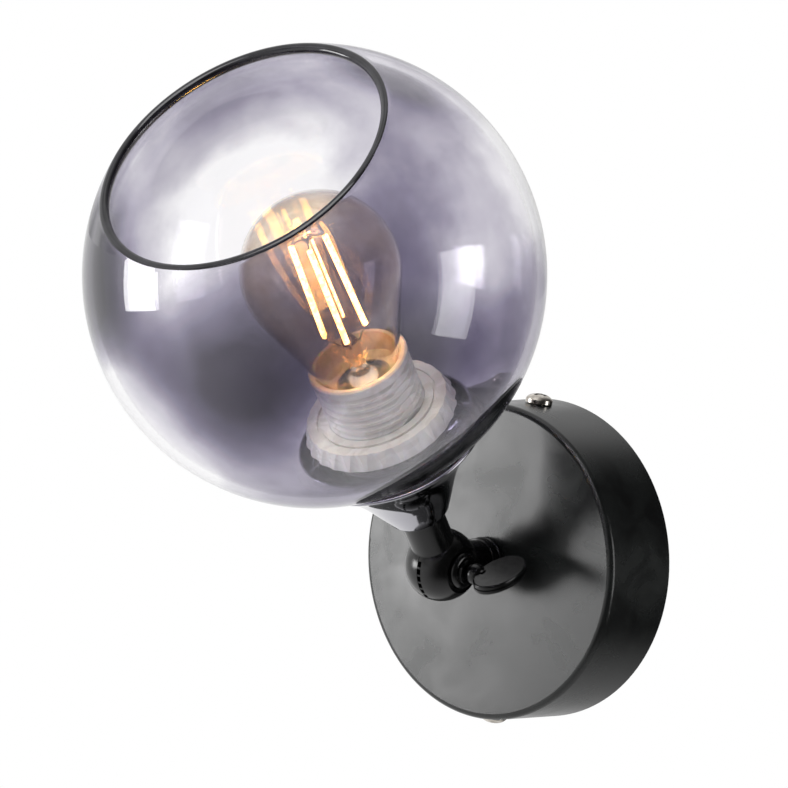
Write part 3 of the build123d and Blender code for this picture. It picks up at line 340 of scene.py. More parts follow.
@dataclass(frozen=True)
class BlownGlass(Finish):
    """Clear blown glass. Lamps shine through it, tinted, on to what stands inside."""

    colour: str = "#fdf8f0"
    thick_colour: str = "#f6ebdc"
    ior: float = 1.65  # soda glass has 1.5; raised to bring it nearer the photograph's bulb
    cloud_mm: float = 12.0

    def tint(self, tree: Tree, place: Socket) -> Socket:
        """Works out the colour that the glass takes from the light, in soft streaks.

        Args:
            tree: the material's node tree.
            place: where the surface is, in metres.

        Returns:
            The colour output, for light that goes once through the wall.
        """
        clouds = add(tree, "ShaderNodeTexNoise", {"Vector": place, "Scale": MM_PER_M / self.cloud_mm, "Detail": 3.0,
                                                  "Roughness": 0.5, "Distortion": 0.4})
        return ramp(add(tree, "ShaderNodeValToRGB", {"Fac": clouds.outputs["Fac"]}),
                    [(0.36, self.thick_colour), (0.64, self.colour)])

    def inputs(self, tree: Tree, place: Socket) -> Inputs:
        """Works out the tinted glass.

        Args:
            tree: the material's node tree.
            place: where the surface is, in metres.

        Returns:
            The shader's inputs.
        """
        return {"Base Color": self.tint(tree, place), "Roughness": 0.0, "IOR": self.ior, "Transmission Weight": 1.0}

    def make(self) -> Material:
        """Builds the material, and lets the light of lamps and of rough surfaces straight through it.

        Each face takes the square root of the tint, so that the wall's two faces take the whole of it.

        Returns:
            The finished material.
        """
        material = super().make()
        tree = material.node_tree
        shader = tree.nodes["Principled BSDF"]
        tint = shader.inputs["Base Color"].links[0].from_socket
        rays = add(tree, "ShaderNodeLightPath")
        passes = add(tree, "ShaderNodeMath", {0: rays.outputs["Is Shadow Ray"], 1: rays.outputs["Is Diffuse Ray"]},
                     operation="MAXIMUM")
        one_face = add(tree, "ShaderNodeGamma", {"Color": tint, "Gamma": 0.5})
        clear = add(tree, "ShaderNodeBsdfTransparent", {"Color": one_face.outputs["Color"]})
        mix = add(tree, "ShaderNodeMixShader", {0: passes.outputs[0], 1: shader.outputs["BSDF"],
                                                2: clear.outputs["BSDF"]})
        feed(tree.nodes["Material Output"], {"Surface": mix.outputs["Shader"]})
        return material


@dataclass(frozen=True)
class SmokePatch:
    """A place on the globe where the metal vapour settled thicker, or thinner where its density is negative.

    turn is the bearing about the lamp's axis, 0 to its right and 90 to the wall; polar is the angle from the
    mouth's end of that axis; spread is the patch's reach. All three are in degrees.
    """

    turn: float
    polar: float
    spread: float
    density: float

    def direction(self) -> Vector:
        """Gives the unit direction from the globe's centre to the patch, in the lamp's own frame."""
        a, e = math.radians(self.turn), math.radians(self.polar)
        return Vector((math.sin(e) * math.cos(a), math.sin(e) * math.sin(a), math.cos(e)))


@dataclass(frozen=True, kw_only=True)
class SmokedGlass(BlownGlass):
    """Glass smoked with metal vapour, which settles in soft violet-grey clouds and leaves clear places.

    A density of 0 leaves the glass clear, and full_density is where the darkest colour begins. Towards the
    globe's outline the light's way through the wall is longer, which darkens it by up to edge_gain.
    """

    centre: Vector
    radius: float
    turned: Matrix
    ior: float = 1.5
    base: float = 0.46
    wisp_mm: float = 34.0
    wisp_density: float = 0.5
    streak_mm: float = 9.0
    streak_density: float = 0.12
    full_density: float = 2.4
    edge_gain: float = 0.8
    edge_from: float = 0.4

    def patches(self) -> list[SmokePatch]:
        """Lists the thick and thin places.

        Returns:
            The patches.
        """
        places = [
            (-90, 50, 36, -0.75), (-68, 78, 38, 2.3), (-40, 60, 35, 0.65), (-100, 95, 35, -1.4),
            (-40, 100, 26, -1.5), (-15, 70, 26, -0.65), (12, 72, 22, 0.2), (10, 48, 30, 0.45),
            (45, 80, 35, -0.6), (120, 52, 34, 0.1), (75, 110, 35, -0.45), (150, 60, 34, 0.65),
            (110, 150, 36, 2.2), (-178, 120, 34, -1), (-150, 100, 34, 0.7), (-162, 140, 30, 0.45),
            (-125, 62, 30, 2.6), (150, 95, 38, -1.1), (-150, 75, 30, 2.3), (90, 60, 24, 2),
            (100, 85, 28, -0.15), (-66, 126, 26, 0.5), (-14, 62, 20, 1.1), (-2, 97, 22, 0.75),
            (-98, 70, 20, 0.7),
        ]
        return [SmokePatch(*place) for place in places]

    def tint(self, tree: Tree, place: Socket) -> Socket:
        """Works out the smoke's colour from its density: base, wisps, streaks and patches.

        Args:
            tree: the material's node tree.
            place: where the surface is, in metres.

        Returns:
            The colour output, for light that goes once through the wall.
        """
        wisps = add(tree, "ShaderNodeTexNoise", {"Vector": place, "Scale": MM_PER_M / self.wisp_mm, "Detail": 4.0,
                                                 "Roughness": 0.45, "Distortion": 0.8})
        streaks = add(tree, "ShaderNodeTexNoise", {"Vector": place, "Scale": MM_PER_M / self.streak_mm, "Detail": 3.0})
        density = add(tree, "ShaderNodeMapRange", {"Value": wisps.outputs["Fac"], **WIDE_NOISE_SPAN,
                                                   "To Min": self.base - self.wisp_density / 2,
                                                   "To Max": self.base + self.wisp_density / 2}).outputs["Result"]
        fine = add(tree, "ShaderNodeMapRange", {"Value": streaks.outputs["Fac"], **WIDE_NOISE_SPAN,
                                                "To Min": -self.streak_density, "To Max": self.streak_density})
        density = add(tree, "ShaderNodeMath", {0: density, 1: fine.outputs["Result"]}).outputs[0]
        for patch in self.patches():
            middle = self.centre + self.turned @ patch.direction() * self.radius
            reach = 2 * self.radius * math.sin(math.radians(patch.spread) / 2)
            away = add(tree, "ShaderNodeVectorMath", {0: place, 1: middle}, operation="DISTANCE")
            amount = add(tree, "ShaderNodeMapRange", {"Value": away.outputs["Value"], "From Min": 0.0,
                                                      "From Max": reach, "To Min": patch.density, "To Max": 0.0},
                         interpolation_type="SMOOTHSTEP")
            density = add(tree, "ShaderNodeMath", {0: density, 1: amount.outputs["Result"]}).outputs[0]
        slant = add(tree, "ShaderNodeLayerWeight")
        longer = add(tree, "ShaderNodeMapRange", {"Value": slant.outputs["Facing"], "From Min": self.edge_from,
                                                  "From Max": 1.0, "To Min": 1.0, "To Max": 1.0 + self.edge_gain})
        density = add(tree, "ShaderNodeMath", {0: density, 1: longer.outputs["Result"]}, operation="MULTIPLY")
        share = add(tree, "ShaderNodeMapRange", {"Value": density.outputs[0], "From Min": 0.0,
                                                 "From Max": self.full_density})
        return ramp(add(tree, "ShaderNodeValToRGB", {"Fac": share.outputs["Result"]}),
                    [(0.0, "#fdfcfe"), (0.17, "#d5d2db"), (0.41, "#a39eb0"), (0.67, "#7b7789"), (1.0, "#504d58")])


@dataclass(frozen=True)
class PolishedRim(Finish):
    """The globe's fire-polished rim, with sharp highlights; its near black is partly thick smoke and partly painted
    shade for what it refracts.
    """

    # near black: partly the rim's thick smoke, partly painted shade for the dark that the bead refracts
    colour: str = "#17161a"
    pale_colour: str = "#2b2a31"
    roughness: float = 0.06
    ior: float = 1.55
    vein_mm: float = 5.0

    def inputs(self, tree: Tree, place: Socket) -> Inputs:
        """Works out the rim's veins.

        Args:
            tree: the material's node tree.
            place: where the surface is, in metres.

        Returns:
            The shader's inputs.
        """
        veins = add(tree, "ShaderNodeTexNoise", {"Vector": place, "Scale": MM_PER_M / self.vein_mm, "Detail": 3.0})
        colour = ramp(add(tree, "ShaderNodeValToRGB", {"Fac": veins.outputs["Fac"]}),
                      [(0.4, self.colour), (0.7, self.pale_colour)])
        return {"Base Color": colour, "Roughness": self.roughness, "IOR": self.ior}


@dataclass(frozen=True)
class Moulded(Finish):
    """Moulded plastic, resin or rubber: one colour right through, with flow marks and a fine grain.

    Where depth_mm isn't 0, a little of the light goes that far in, which softens the shadows.
    """

    colour: str
    flow_colour: str
    roughness: float
    ior: float
    flow_mm: float
    grain_mm: float
    grain_depth_mm: float
    depth_mm: float = 0.0
    scatter: float = 0.15
    smoother: float = 0.04
    rougher: float = 0.06

    def inputs(self, tree: Tree, place: Socket) -> Inputs:
        """Works out the plastic's flow marks, its grain and the light in it.

        Args:
            tree: the material's node tree.
            place: where the surface is, in metres.

        Returns:
            The shader's inputs.
        """
        flow = add(tree, "ShaderNodeTexNoise", {"Vector": place, "Scale": MM_PER_M / self.flow_mm, "Detail": 3.0,
                                                "Distortion": 1.0})
        grain = add(tree, "ShaderNodeTexNoise", {"Vector": place, "Scale": MM_PER_M / self.grain_mm, "Detail": 1.0})
        colour = ramp(add(tree, "ShaderNodeValToRGB", {"Fac": flow.outputs["Fac"]}),
                      [(0.35, self.flow_colour), (0.6, self.colour)])
        gloss = self.gloss(tree, flow, self.roughness - self.smoother, self.roughness + self.rougher)
        bump = add(tree, "ShaderNodeBump", {"Height": grain.outputs["Fac"], "Distance": self.grain_depth_mm * MM})
        surface = {"Base Color": colour, "Roughness": gloss, "Normal": bump.outputs["Normal"], "IOR": self.ior}
        inside = {"Subsurface Weight": self.scatter, "Subsurface Scale": self.depth_mm * MM} if self.depth_mm else {}
        return {**surface, **inside}


@dataclass(frozen=True)
class WireSleeve(Moulded):
    """Extruded vinyl wire sleeve: an even colour with a dull sheen."""

    roughness: float = 0.4
    ior: float = 1.5
    flow_mm: float = 3.0
    grain_mm: float = 0.3
    grain_depth_mm: float = 0.003


@dataclass(frozen=True)
class StripedSleeve(Finish):
    """Extruded wire sleeve in green with a yellow stripe wound round it, which comes back every 4 cm or so."""

    green: str = "#2f7a2c"
    yellow: str = "#e2c524"
    roughness: float = 0.4
    wave_scale: float = 15.625  # coarser than on a real wire, so that both colours show

    def inputs(self, tree: Tree, place: Socket) -> Inputs:
        """Works out the sleeve's stripe.

        Args:
            tree: the material's node tree.
            place: where the surface is, in metres.

        Returns:
            The shader's inputs.
        """
        wave = add(tree, "ShaderNodeTexWave", {"Vector": place, "Scale": self.wave_scale, "Distortion": 0.4},
                   bands_direction="DIAGONAL")
        colour = ramp(add(tree, "ShaderNodeValToRGB", {"Fac": wave.outputs["Fac"]}),
                      [(0.48, self.green), (0.52, self.yellow)])
        return {"Base Color": colour, "Roughness": self.roughness}


@dataclass(frozen=True)
class LitPhosphor(Finish):
    """Phosphor gel over a row of small chips, lit: nearly white at the chips, yellow between them."""

    chip_colour: str = "#ffd380"
    gel_colour: str = "#ffb54c"
    strength: float = 50.0
    chip_mm: float = 1.1

    def inputs(self, tree: Tree, place: Socket) -> Inputs:
        """Works out the gel's glow.

        Args:
            tree: the material's node tree.
            place: where the surface is, in metres.

        Returns:
            The shader's inputs.
        """
        chips = add(tree, "ShaderNodeTexNoise", {"Vector": place, "Scale": MM_PER_M / self.chip_mm, "Detail": 1.0})
        glow = ramp(add(tree, "ShaderNodeValToRGB", {"Fac": chips.outputs["Fac"]}),
                    [(0.4, self.gel_colour), (0.6, self.chip_colour)])
        return {"Base Color": glow, "Emission Color": glow, "Emission Strength": self.strength}


def finishes() -> dict[Slot, Material]:
    """Builds every finish once.

    Returns:
        The finish of each of the record's slots, apart from the smoked glass, which the globe builds for itself.
    """
    kinds = {
        # a soft, clouded sheen over near black
        Slot.BLACK_COAT: PowderCoat("satin_powder_coat"),
        # a dark mirror that draws the room out along the cup
        Slot.BLACK_CHROME: BlackNickel("black_nickel_plate"),
        # deep black under soft-edged highlights
        Slot.BLACK_GLOSS: BlackLacquer("gloss_stoving_lacquer"),
        # warm and bright, with small dull spots
        Slot.NICKEL: Metal("bright_nickel_plate", "#d5cfc6", "#a9a299", roughness=0.2, patch_mm=2.0, mark_mm=0.2),
        # cool grey, dulled by its fine crystals
        Slot.ZINC: Metal("zinc_plated_steel", "#b7bbc2", "#90959d", roughness=0.34, patch_mm=2.5, mark_mm=0.3),
        # yellow, browner where it tarnished
        Slot.BRASS: Metal("cut_brass", "#e0b866", "#b98f45", roughness=0.28, patch_mm=2.0, mark_mm=0.2),
        # nearly colourless, a little warm, with hard highlights
        Slot.CLEAR_GLASS: BlownGlass("clear_blown_glass"),
        # warm white with a mild gloss and softened shadows
        Slot.WHITE_PLASTIC: Moulded("white_urea_resin", "#f2f0ec", "#e6e2db", roughness=0.26, ior=1.55, flow_mm=8.0,
                                    grain_mm=0.5, grain_depth_mm=0.003, depth_mm=0.8),
        # cream and matt
        Slot.PALE_PLASTIC: Moulded("natural_nylon", "#ded8c6", "#cfc8b4", roughness=0.45, ior=1.53, flow_mm=5.0,
                                   grain_mm=0.3, grain_depth_mm=0.006, depth_mm=0.6),
        # milky grey and dull
        Slot.SILICONE: Moulded("translucent_silicone", "#cfcdc8", "#bdbbb5", roughness=0.5, ior=1.41, flow_mm=4.0,
                               grain_mm=0.3, grain_depth_mm=0.004, depth_mm=1.0),
        # flat brown and flat blue, with a dull sheen
        Slot.BROWN_WIRE: WireSleeve("brown_wire_sleeve", "#5a3320", "#4a2918"),
        Slot.BLUE_WIRE: WireSleeve("blue_wire_sleeve", "#2a55a8", "#214690"),
        # green and yellow in turn
        Slot.EARTH_WIRE: StripedSleeve("earth_wire_sleeve"),
        # a glare, white at the chips and yellow between them
        Slot.FILAMENT: LitPhosphor("lit_phosphor_gel"),
        # wet-looking black
        Slot.DARK_GLAZE: Moulded("black_insulator_glass", "#101013", "#17171a", roughness=0.15, ior=1.6, flow_mm=2.0,
                                 grain_mm=0.3, grain_depth_mm=0.002),
        # dull silver grey
        Slot.SOLDER: Metal("soft_solder", "#b4b6b8", "#8c8f93", roughness=0.35, patch_mm=1.0, mark_mm=0.2),
        # pale straw, matt
        Slot.CIRCUIT_BOARD: Moulded("glass_epoxy_board", "#d9cf9f", "#c9bf8c", roughness=0.45, ior=1.55, flow_mm=2.0,
                                    grain_mm=0.3, grain_depth_mm=0.004),
    }
    return {slot: kind.make() for slot, kind in kinds.items()}


# -------- the lamp's own axis and turned meshes
@dataclass(frozen=True)
class LampAxis:
    """The lamp head's axis: the ball's centre, and the way from it along the lampholder, the globe and the bulb."""

    origin: Vector
    along: Vector

    @classmethod
    def from_joint(cls, name: str) -> "LampAxis":
        """Reads the axis from one of the frame's joints.

        Args:
            name: the joint's name.

        Returns:
            The lamp's axis.
        """
        joint = next(j for j in frame["joints"] if j["name"] == name)
        return cls(Vector(joint["pos_m"]), Vector(joint["axis"]).normalized())

    def matrix(self) -> Matrix:
        """Works out the lamp's place and tilt.

        Returns:
            The turn and move from the lamp's own frame, with its axis along Z, into the part's frame.
        """
        side = Vector((1, 0, 0))
        up = self.along.cross(side)
        turn = Matrix((side, up, self.along)).transposed().to_4x4()
        return Matrix.Translation(self.origin) @ turn

    def span(self, node: str) -> tuple[float, float]:
        """Measures how far a CAD node reaches along the axis.

        Args:
            node: the node's name.

        Returns:
            Its lowest and highest place, in metres from the ball's centre.
        """
        places = [(v.co - self.origin).dot(self.along) for v in frame["nodes"][node].data.vertices]
        return min(places), max(places)


def mesh_piece(name: str, points: Sequence[Vector], faces: Sequence[Sequence[int]], place: Matrix) -> bpy.types.Object:
    """Makes a smooth-shaded mesh object from points in a frame of its own.

    Args:
        name: the piece's name.
        points: the corners, in metres.
        faces: the corner numbers of each face.
        place: the matrix that takes the points into the part's frame.

    Returns:
        The new object, linked to the scene.
    """
    mesh = bpy.data.meshes.new(name)
    mesh.from_pydata([place @ p for p in points], [], faces)
    mesh.shade_smooth()
    mesh.set_sharp_from_angle(angle=math.radians(SHARP_DEGREES))
    piece = bpy.data.objects.new(name, mesh)
    bpy.context.scene.collection.objects.link(piece)
    return piece


def grid_faces(rows: int, columns: int, close_rows: bool) -> list[tuple[int, int, int, int]]:
    """Lists the faces of a grid whose columns close into a ring.

    Args:
        rows: how many rows of points there are.
        columns: how many points a row has.
        close_rows: whether the last row also joins the first.

    Returns:
        The corner numbers of each face.
    """
    faces = []
    for i in range(rows if close_rows else rows - 1):
        k = (i + 1) % rows
        for j in range(columns):
            n = (j + 1) % columns
            faces.append((i * columns + j, i * columns + n, k * columns + n, k * columns + j))
    return faces


def bend(start: Vector, corner: Vector, end: Vector, steps: int) -> list[Vector]:
    """Rounds a corner.

    Args:
        start: where the bend begins, on its way to the corner.
        corner: the sharp corner that it replaces.
        end: where it arrives.
        steps: how many spans it has.

    Returns:
        The points, both ends included.
    """
    points = []
    for step in range(steps + 1):
        t = step / steps
        points.append(start * (1 - t) ** 2 + corner * 2 * t * (1 - t) + end * t * t)
    return points


# -------- globe
@dataclass
class Globe:
    """The smoked globe: a sphere with a flat land at the lampholder and a slanted round mouth with a bead."""

    axis: LampAxis
    radius: float = 63.0 * MM
    wall: float = 2.8 * MM
    land_drop: float = 60.705 * MM    # from the sphere's centre down to the land
    land_radius: float = 22.5 * MM
    land_round: float = 2.5 * MM
    land_steps: int = 5
    hole_radius: float = 14.8 * MM
    shift: float = 2.4 * MM           # of the sphere's centre from the lampholder's axis
    slant: float = 8.2                # of the mouth's plane, in degrees
    rim_radius: float = 40.7 * MM     # of the bead's middle line
    bead_radius: float = 1.45 * MM
    columns: int = 256
    rows: int = 90
    bead_rows: int = 14
    bead_edge: int = 1                # rows at each side of the bead that stay clear glass

    def _tangent(self, radius: float, land_radius: float, drop: float) -> float:
        """Gives the angle from the bottom at which the cone from the land's edge meets the sphere."""
        return math.atan2(land_radius, drop) + math.acos(radius / math.hypot(land_radius, drop))

    def _wall_rows(self, radius: float, land_radius: float, drop: float, turn: float) -> list[Vector]:
        """Lays out one side of the wall at a column: land, bend, cone and sphere, up to the mouth.

        Args:
            radius: the sphere's radius on this side of the wall.
            land_radius: the radius of the land's corner on this side.
            drop: the land's distance below the sphere's centre.
            turn: the column's angle about the globe's axis.

        Returns:
            Points from the hole's edge to the mouth, about the sphere's centre.
        """
        out = Vector((math.cos(turn), math.sin(turn), 0))
        down = Vector((0, 0, -1))
        low = self._tangent(radius, land_radius, drop)
        corner = out * land_radius + down * drop
        touch = (out * math.sin(low) + down * math.cos(low)) * radius
        cone = (touch - corner).normalized()
        hole = Vector((0, self.shift, 0)) + out * self.hole_radius + down * drop
        rounded = bend(corner - out * self.land_round, corner, corner + cone * self.land_round, self.land_steps)
        points = [hole, hole.lerp(rounded[0], 0.5), *rounded, rounded[-1].lerp(touch, 0.5)]
        bottom = touch.normalized()
        top = self._mouth_direction(turn)
        spread = bottom.angle(top)
        for row in range(self.rows):
            share = row / self.rows
            points.append((bottom * math.sin((1 - share) * spread) + top * math.sin(share * spread)) * radius
                          / math.sin(spread))
        return points

    def _mouth_polar(self) -> float:
        """Gives half the angle that the mouth takes up, seen from the sphere's centre."""
        return math.asin(self.rim_radius / (self.radius - self.wall / 2))

    def _mouth_direction(self, turn: float, lift: float = 0.0) -> Vector:
        """Finds the way from the sphere's centre to the rim.

        Args:
            turn: the column's angle about the mouth's normal.
            lift: an angle by which the direction turns from the rim towards the mouth's normal.

        Returns:
            A unit direction.
        """
        polar = self._mouth_polar() - lift
        direction = Vector((math.sin(polar) * math.cos(turn), math.sin(polar) * math.sin(turn), math.cos(polar)))
        return Matrix.Rotation(math.radians(self.slant), 3, "X") @ direction

    def _bead(self, turn: float) -> list[Vector]:
        """Lays out the rounded edge at a column.

        Args:
            turn: the column's angle about the mouth's normal.

        Returns:
            Points from the outer face of the wall to the inner one, about the sphere's centre.
        """
        middle = self.radius - self.wall / 2
        out = self._mouth_direction(turn)
        ahead = self._mouth_direction(turn, math.pi / 2)
        start = math.pi - math.asin(self.wall / 2 / self.bead_radius)
        points = []
        for row in range(self.bead_rows + 1):
            angle = start - 2 * start * row / self.bead_rows
            points.append(out * middle + (ahead * math.cos(angle) + out * math.sin(angle)) * self.bead_radius)
        return points

    def centre(self) -> Vector:
        """Gives the sphere's centre in the lamp's own frame, above the land that the CAD model gives."""
        land, _ = self.axis.span("globe_glass")
        return Vector((0, -self.shift, land + self.land_drop))

    def build(self, polish: Material) -> bpy.types.Object:
        """Builds the globe in place of its CAD node.

        Args:
            polish: the rim's finish, near black with painted shade for the dark that it refracts.

        Returns:
            The globe.
        """
        lean = self._tangent(self.radius, self.land_radius, self.land_drop)
        floor_radius = self.land_radius - self.wall * math.tan(lean / 2)
        centre = self.centre()
        columns, side_rows = [], 0
        for column in range(self.columns):
            turn = 2 * math.pi * column / self.columns
            outside = self._wall_rows(self.radius, self.land_radius, self.land_drop, turn)
            inside = self._wall_rows(self.radius - self.wall, floor_radius, self.land_drop - self.wall, turn)
            columns.append([centre + p for p in (*outside, *self._bead(turn), *reversed(inside))])
            side_rows = len(outside)
        rows = len(columns[0])
        points = [columns[j][i] for i in range(rows) for j in range(self.columns)]
        place = self.axis.matrix()
        piece = mesh_piece("smoked_globe", points, grid_faces(rows, self.columns, True), place)
        glass = SmokedGlass("smoked_blown_glass", centre=place @ centre, radius=self.radius, turned=place.to_3x3())
        piece.data.materials.append(glass.make())
        piece.data.materials.append(polish)
        bead_from = side_rows + self.bead_edge
        bead_to = bead_from + self.bead_rows - 2 * self.bead_edge
        for face in piece.data.polygons:
            row = face.index // self.columns
            face.material_index = int(bead_from <= row < bead_to)
        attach(piece, "head")
        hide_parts("globe_glass")
        return piece


# -------- bulb
@dataclass
class BulbEnvelope:
    """The bulb's clear pear: a neck that is sealed in the cap, a cone and a round top."""

    axis: LampAxis
    radius: float = 22.2 * MM
    centre: float = 109.4 * MM       # from the ball's centre
    cone: float = 19.0               # half the cone's angle, in degrees
    neck_radius: float = 7.6 * MM
    neck_depth: float = 1.5 * MM     # of the neck's foot inside the cap
    knee_above: float = 2.2 * MM     # the cap's end, where the cone begins
    knee_pull: float = 0.9           # of the bend towards the knee, as a share
    knee_steps: int = 8
    top_gap: float = 0.02            # left open round the tip until the last face, in radians
    glass: float = 0.8 * MM
    columns: int = 128
    rows: int = 48

    def _side(self, inset: float, cap_end: float) -> list[Vector]:
        """Lays out one side of the glass.

        Args:
            inset: how far inside the outer face it lies.
            cap_end: the place of the cap's end along the axis.

        Returns:
            Points from the neck's foot to the top.
        """
        cone = math.radians(self.cone)
        radius = self.radius - inset
        touch = Vector((radius * math.cos(cone), 0, self.centre - radius * math.sin(cone)))
        slope = Vector((math.sin(cone), 0, math.cos(cone)))
        knee = touch - slope * ((touch.z - cap_end - self.knee_above) / slope.z)
        foot = Vector((self.neck_radius - inset, 0, cap_end - self.neck_depth))
        shoulder = Vector((self.neck_radius - inset, 0, cap_end))
        rounded = bend(shoulder, shoulder.lerp(knee, self.knee_pull), knee + slope * self.knee_above, self.knee_steps)
        points = [foot, *rounded]
        for row in range(self.rows):
            angle = -cone + (math.pi / 2 - self.top_gap + cone) * row / (self.rows - 1)
            points.append(Vector((radius * math.cos(angle), 0, self.centre + radius * math.sin(angle))))
        return points

    def build(self, glass: Material) -> bpy.types.Object:
        """Builds the envelope in place of its CAD node.

        Args:
            glass: the clear glass.

        Returns:
            The envelope.
        """
        _, cap_end = self.axis.span("bulb_cap")
        profile = self._side(0.0, cap_end) + list(reversed(self._side(self.glass, cap_end)))
        half = len(profile) // 2
        points = [Matrix.Rotation(2 * math.pi * j / self.columns, 3, "Z") @ p
                  for p in profile for j in range(self.columns)]
        faces = grid_faces(half, self.columns, False)
        faces += [tuple(c + half * self.columns for c in f) for f in grid_faces(half, self.columns, False)]
        last = (len(profile) - 1) * self.columns
        for j in range(self.columns):
            n = (j + 1) % self.columns
            faces.append((last + j, last + n, n, j))
        faces.append(tuple((half - 1) * self.columns + j for j in range(self.columns)))
        faces.append(tuple(reversed([half * self.columns + j for j in range(self.columns)])))
        piece = mesh_piece("bulb_envelope", points, faces, self.axis.matrix())
        piece.data.materials.append(glass)
        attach(piece, "bulb")
        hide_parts("bulb_glass")
        return piece


# -------- CAD nodes
@dataclass
class CarriedNodes:
    """The nodes whose CAD shape stays, each with the finish of its slot."""

    palette: dict[Slot, Material]

    def dress(self, hidden: Sequence[str]) -> None:
        """Gives each node its finish.

        Args:
            hidden: the nodes that other pieces stand for.
        """
        slots = {part["node"]: part["material_slot"] for part in frame["record"]["subparts"]}
        for name, node in frame["nodes"].items():
            if name in hidden:
                continue
            finish = self.palette[Slot(slots[name])]
            if not node.data.materials:
                node.data.materials.append(finish)
            for slot in node.material_slots:
                slot.material = finish
            log.info("%s wears %s", name, finish.name)


# -------- studio
def outward(bearing: float, height: float) -> Vector:
    """Turns a bearing and a height into a direction.

    Args:
        bearing: degrees round the lamp, 0 in front of it and 90 at its right.
        height: degrees above the level.

    Returns:
        A unit direction from the lamp.
    """
    a, e = math.radians(bearing), math.radians(height)
    return Vector((math.sin(a) * math.cos(e), -math.cos(a) * math.cos(e), math.sin(e)))


@dataclass(frozen=True)
class Softbox:
    """A white area lamp at a bearing and height round the sconce, aimed at its middle."""

    name: str
    bearing: float
    height: float
    width_m: float
    length_m: float
    radiance: float
    distance_m: float = 1.3

    def hang(self, target: Vector) -> None:
        """Puts the lamp in the scene.

        Args:
            target: the point that it faces.
        """
        light = bpy.data.lights.new(self.name, "AREA")
        light.shape = "RECTANGLE"
        light.size, light.size_y = self.width_m, self.length_m
        light.energy = self.radiance * math.pi * self.width_m * self.length_m
        lamp = bpy.data.objects.new(self.name, light)
        bpy.context.scene.collection.objects.link(lamp)
        lamp.location = target + outward(self.bearing, self.height) * self.distance_m
        lamp.rotation_euler = (lamp.location - target).to_track_quat("Z", "Y").to_euler()


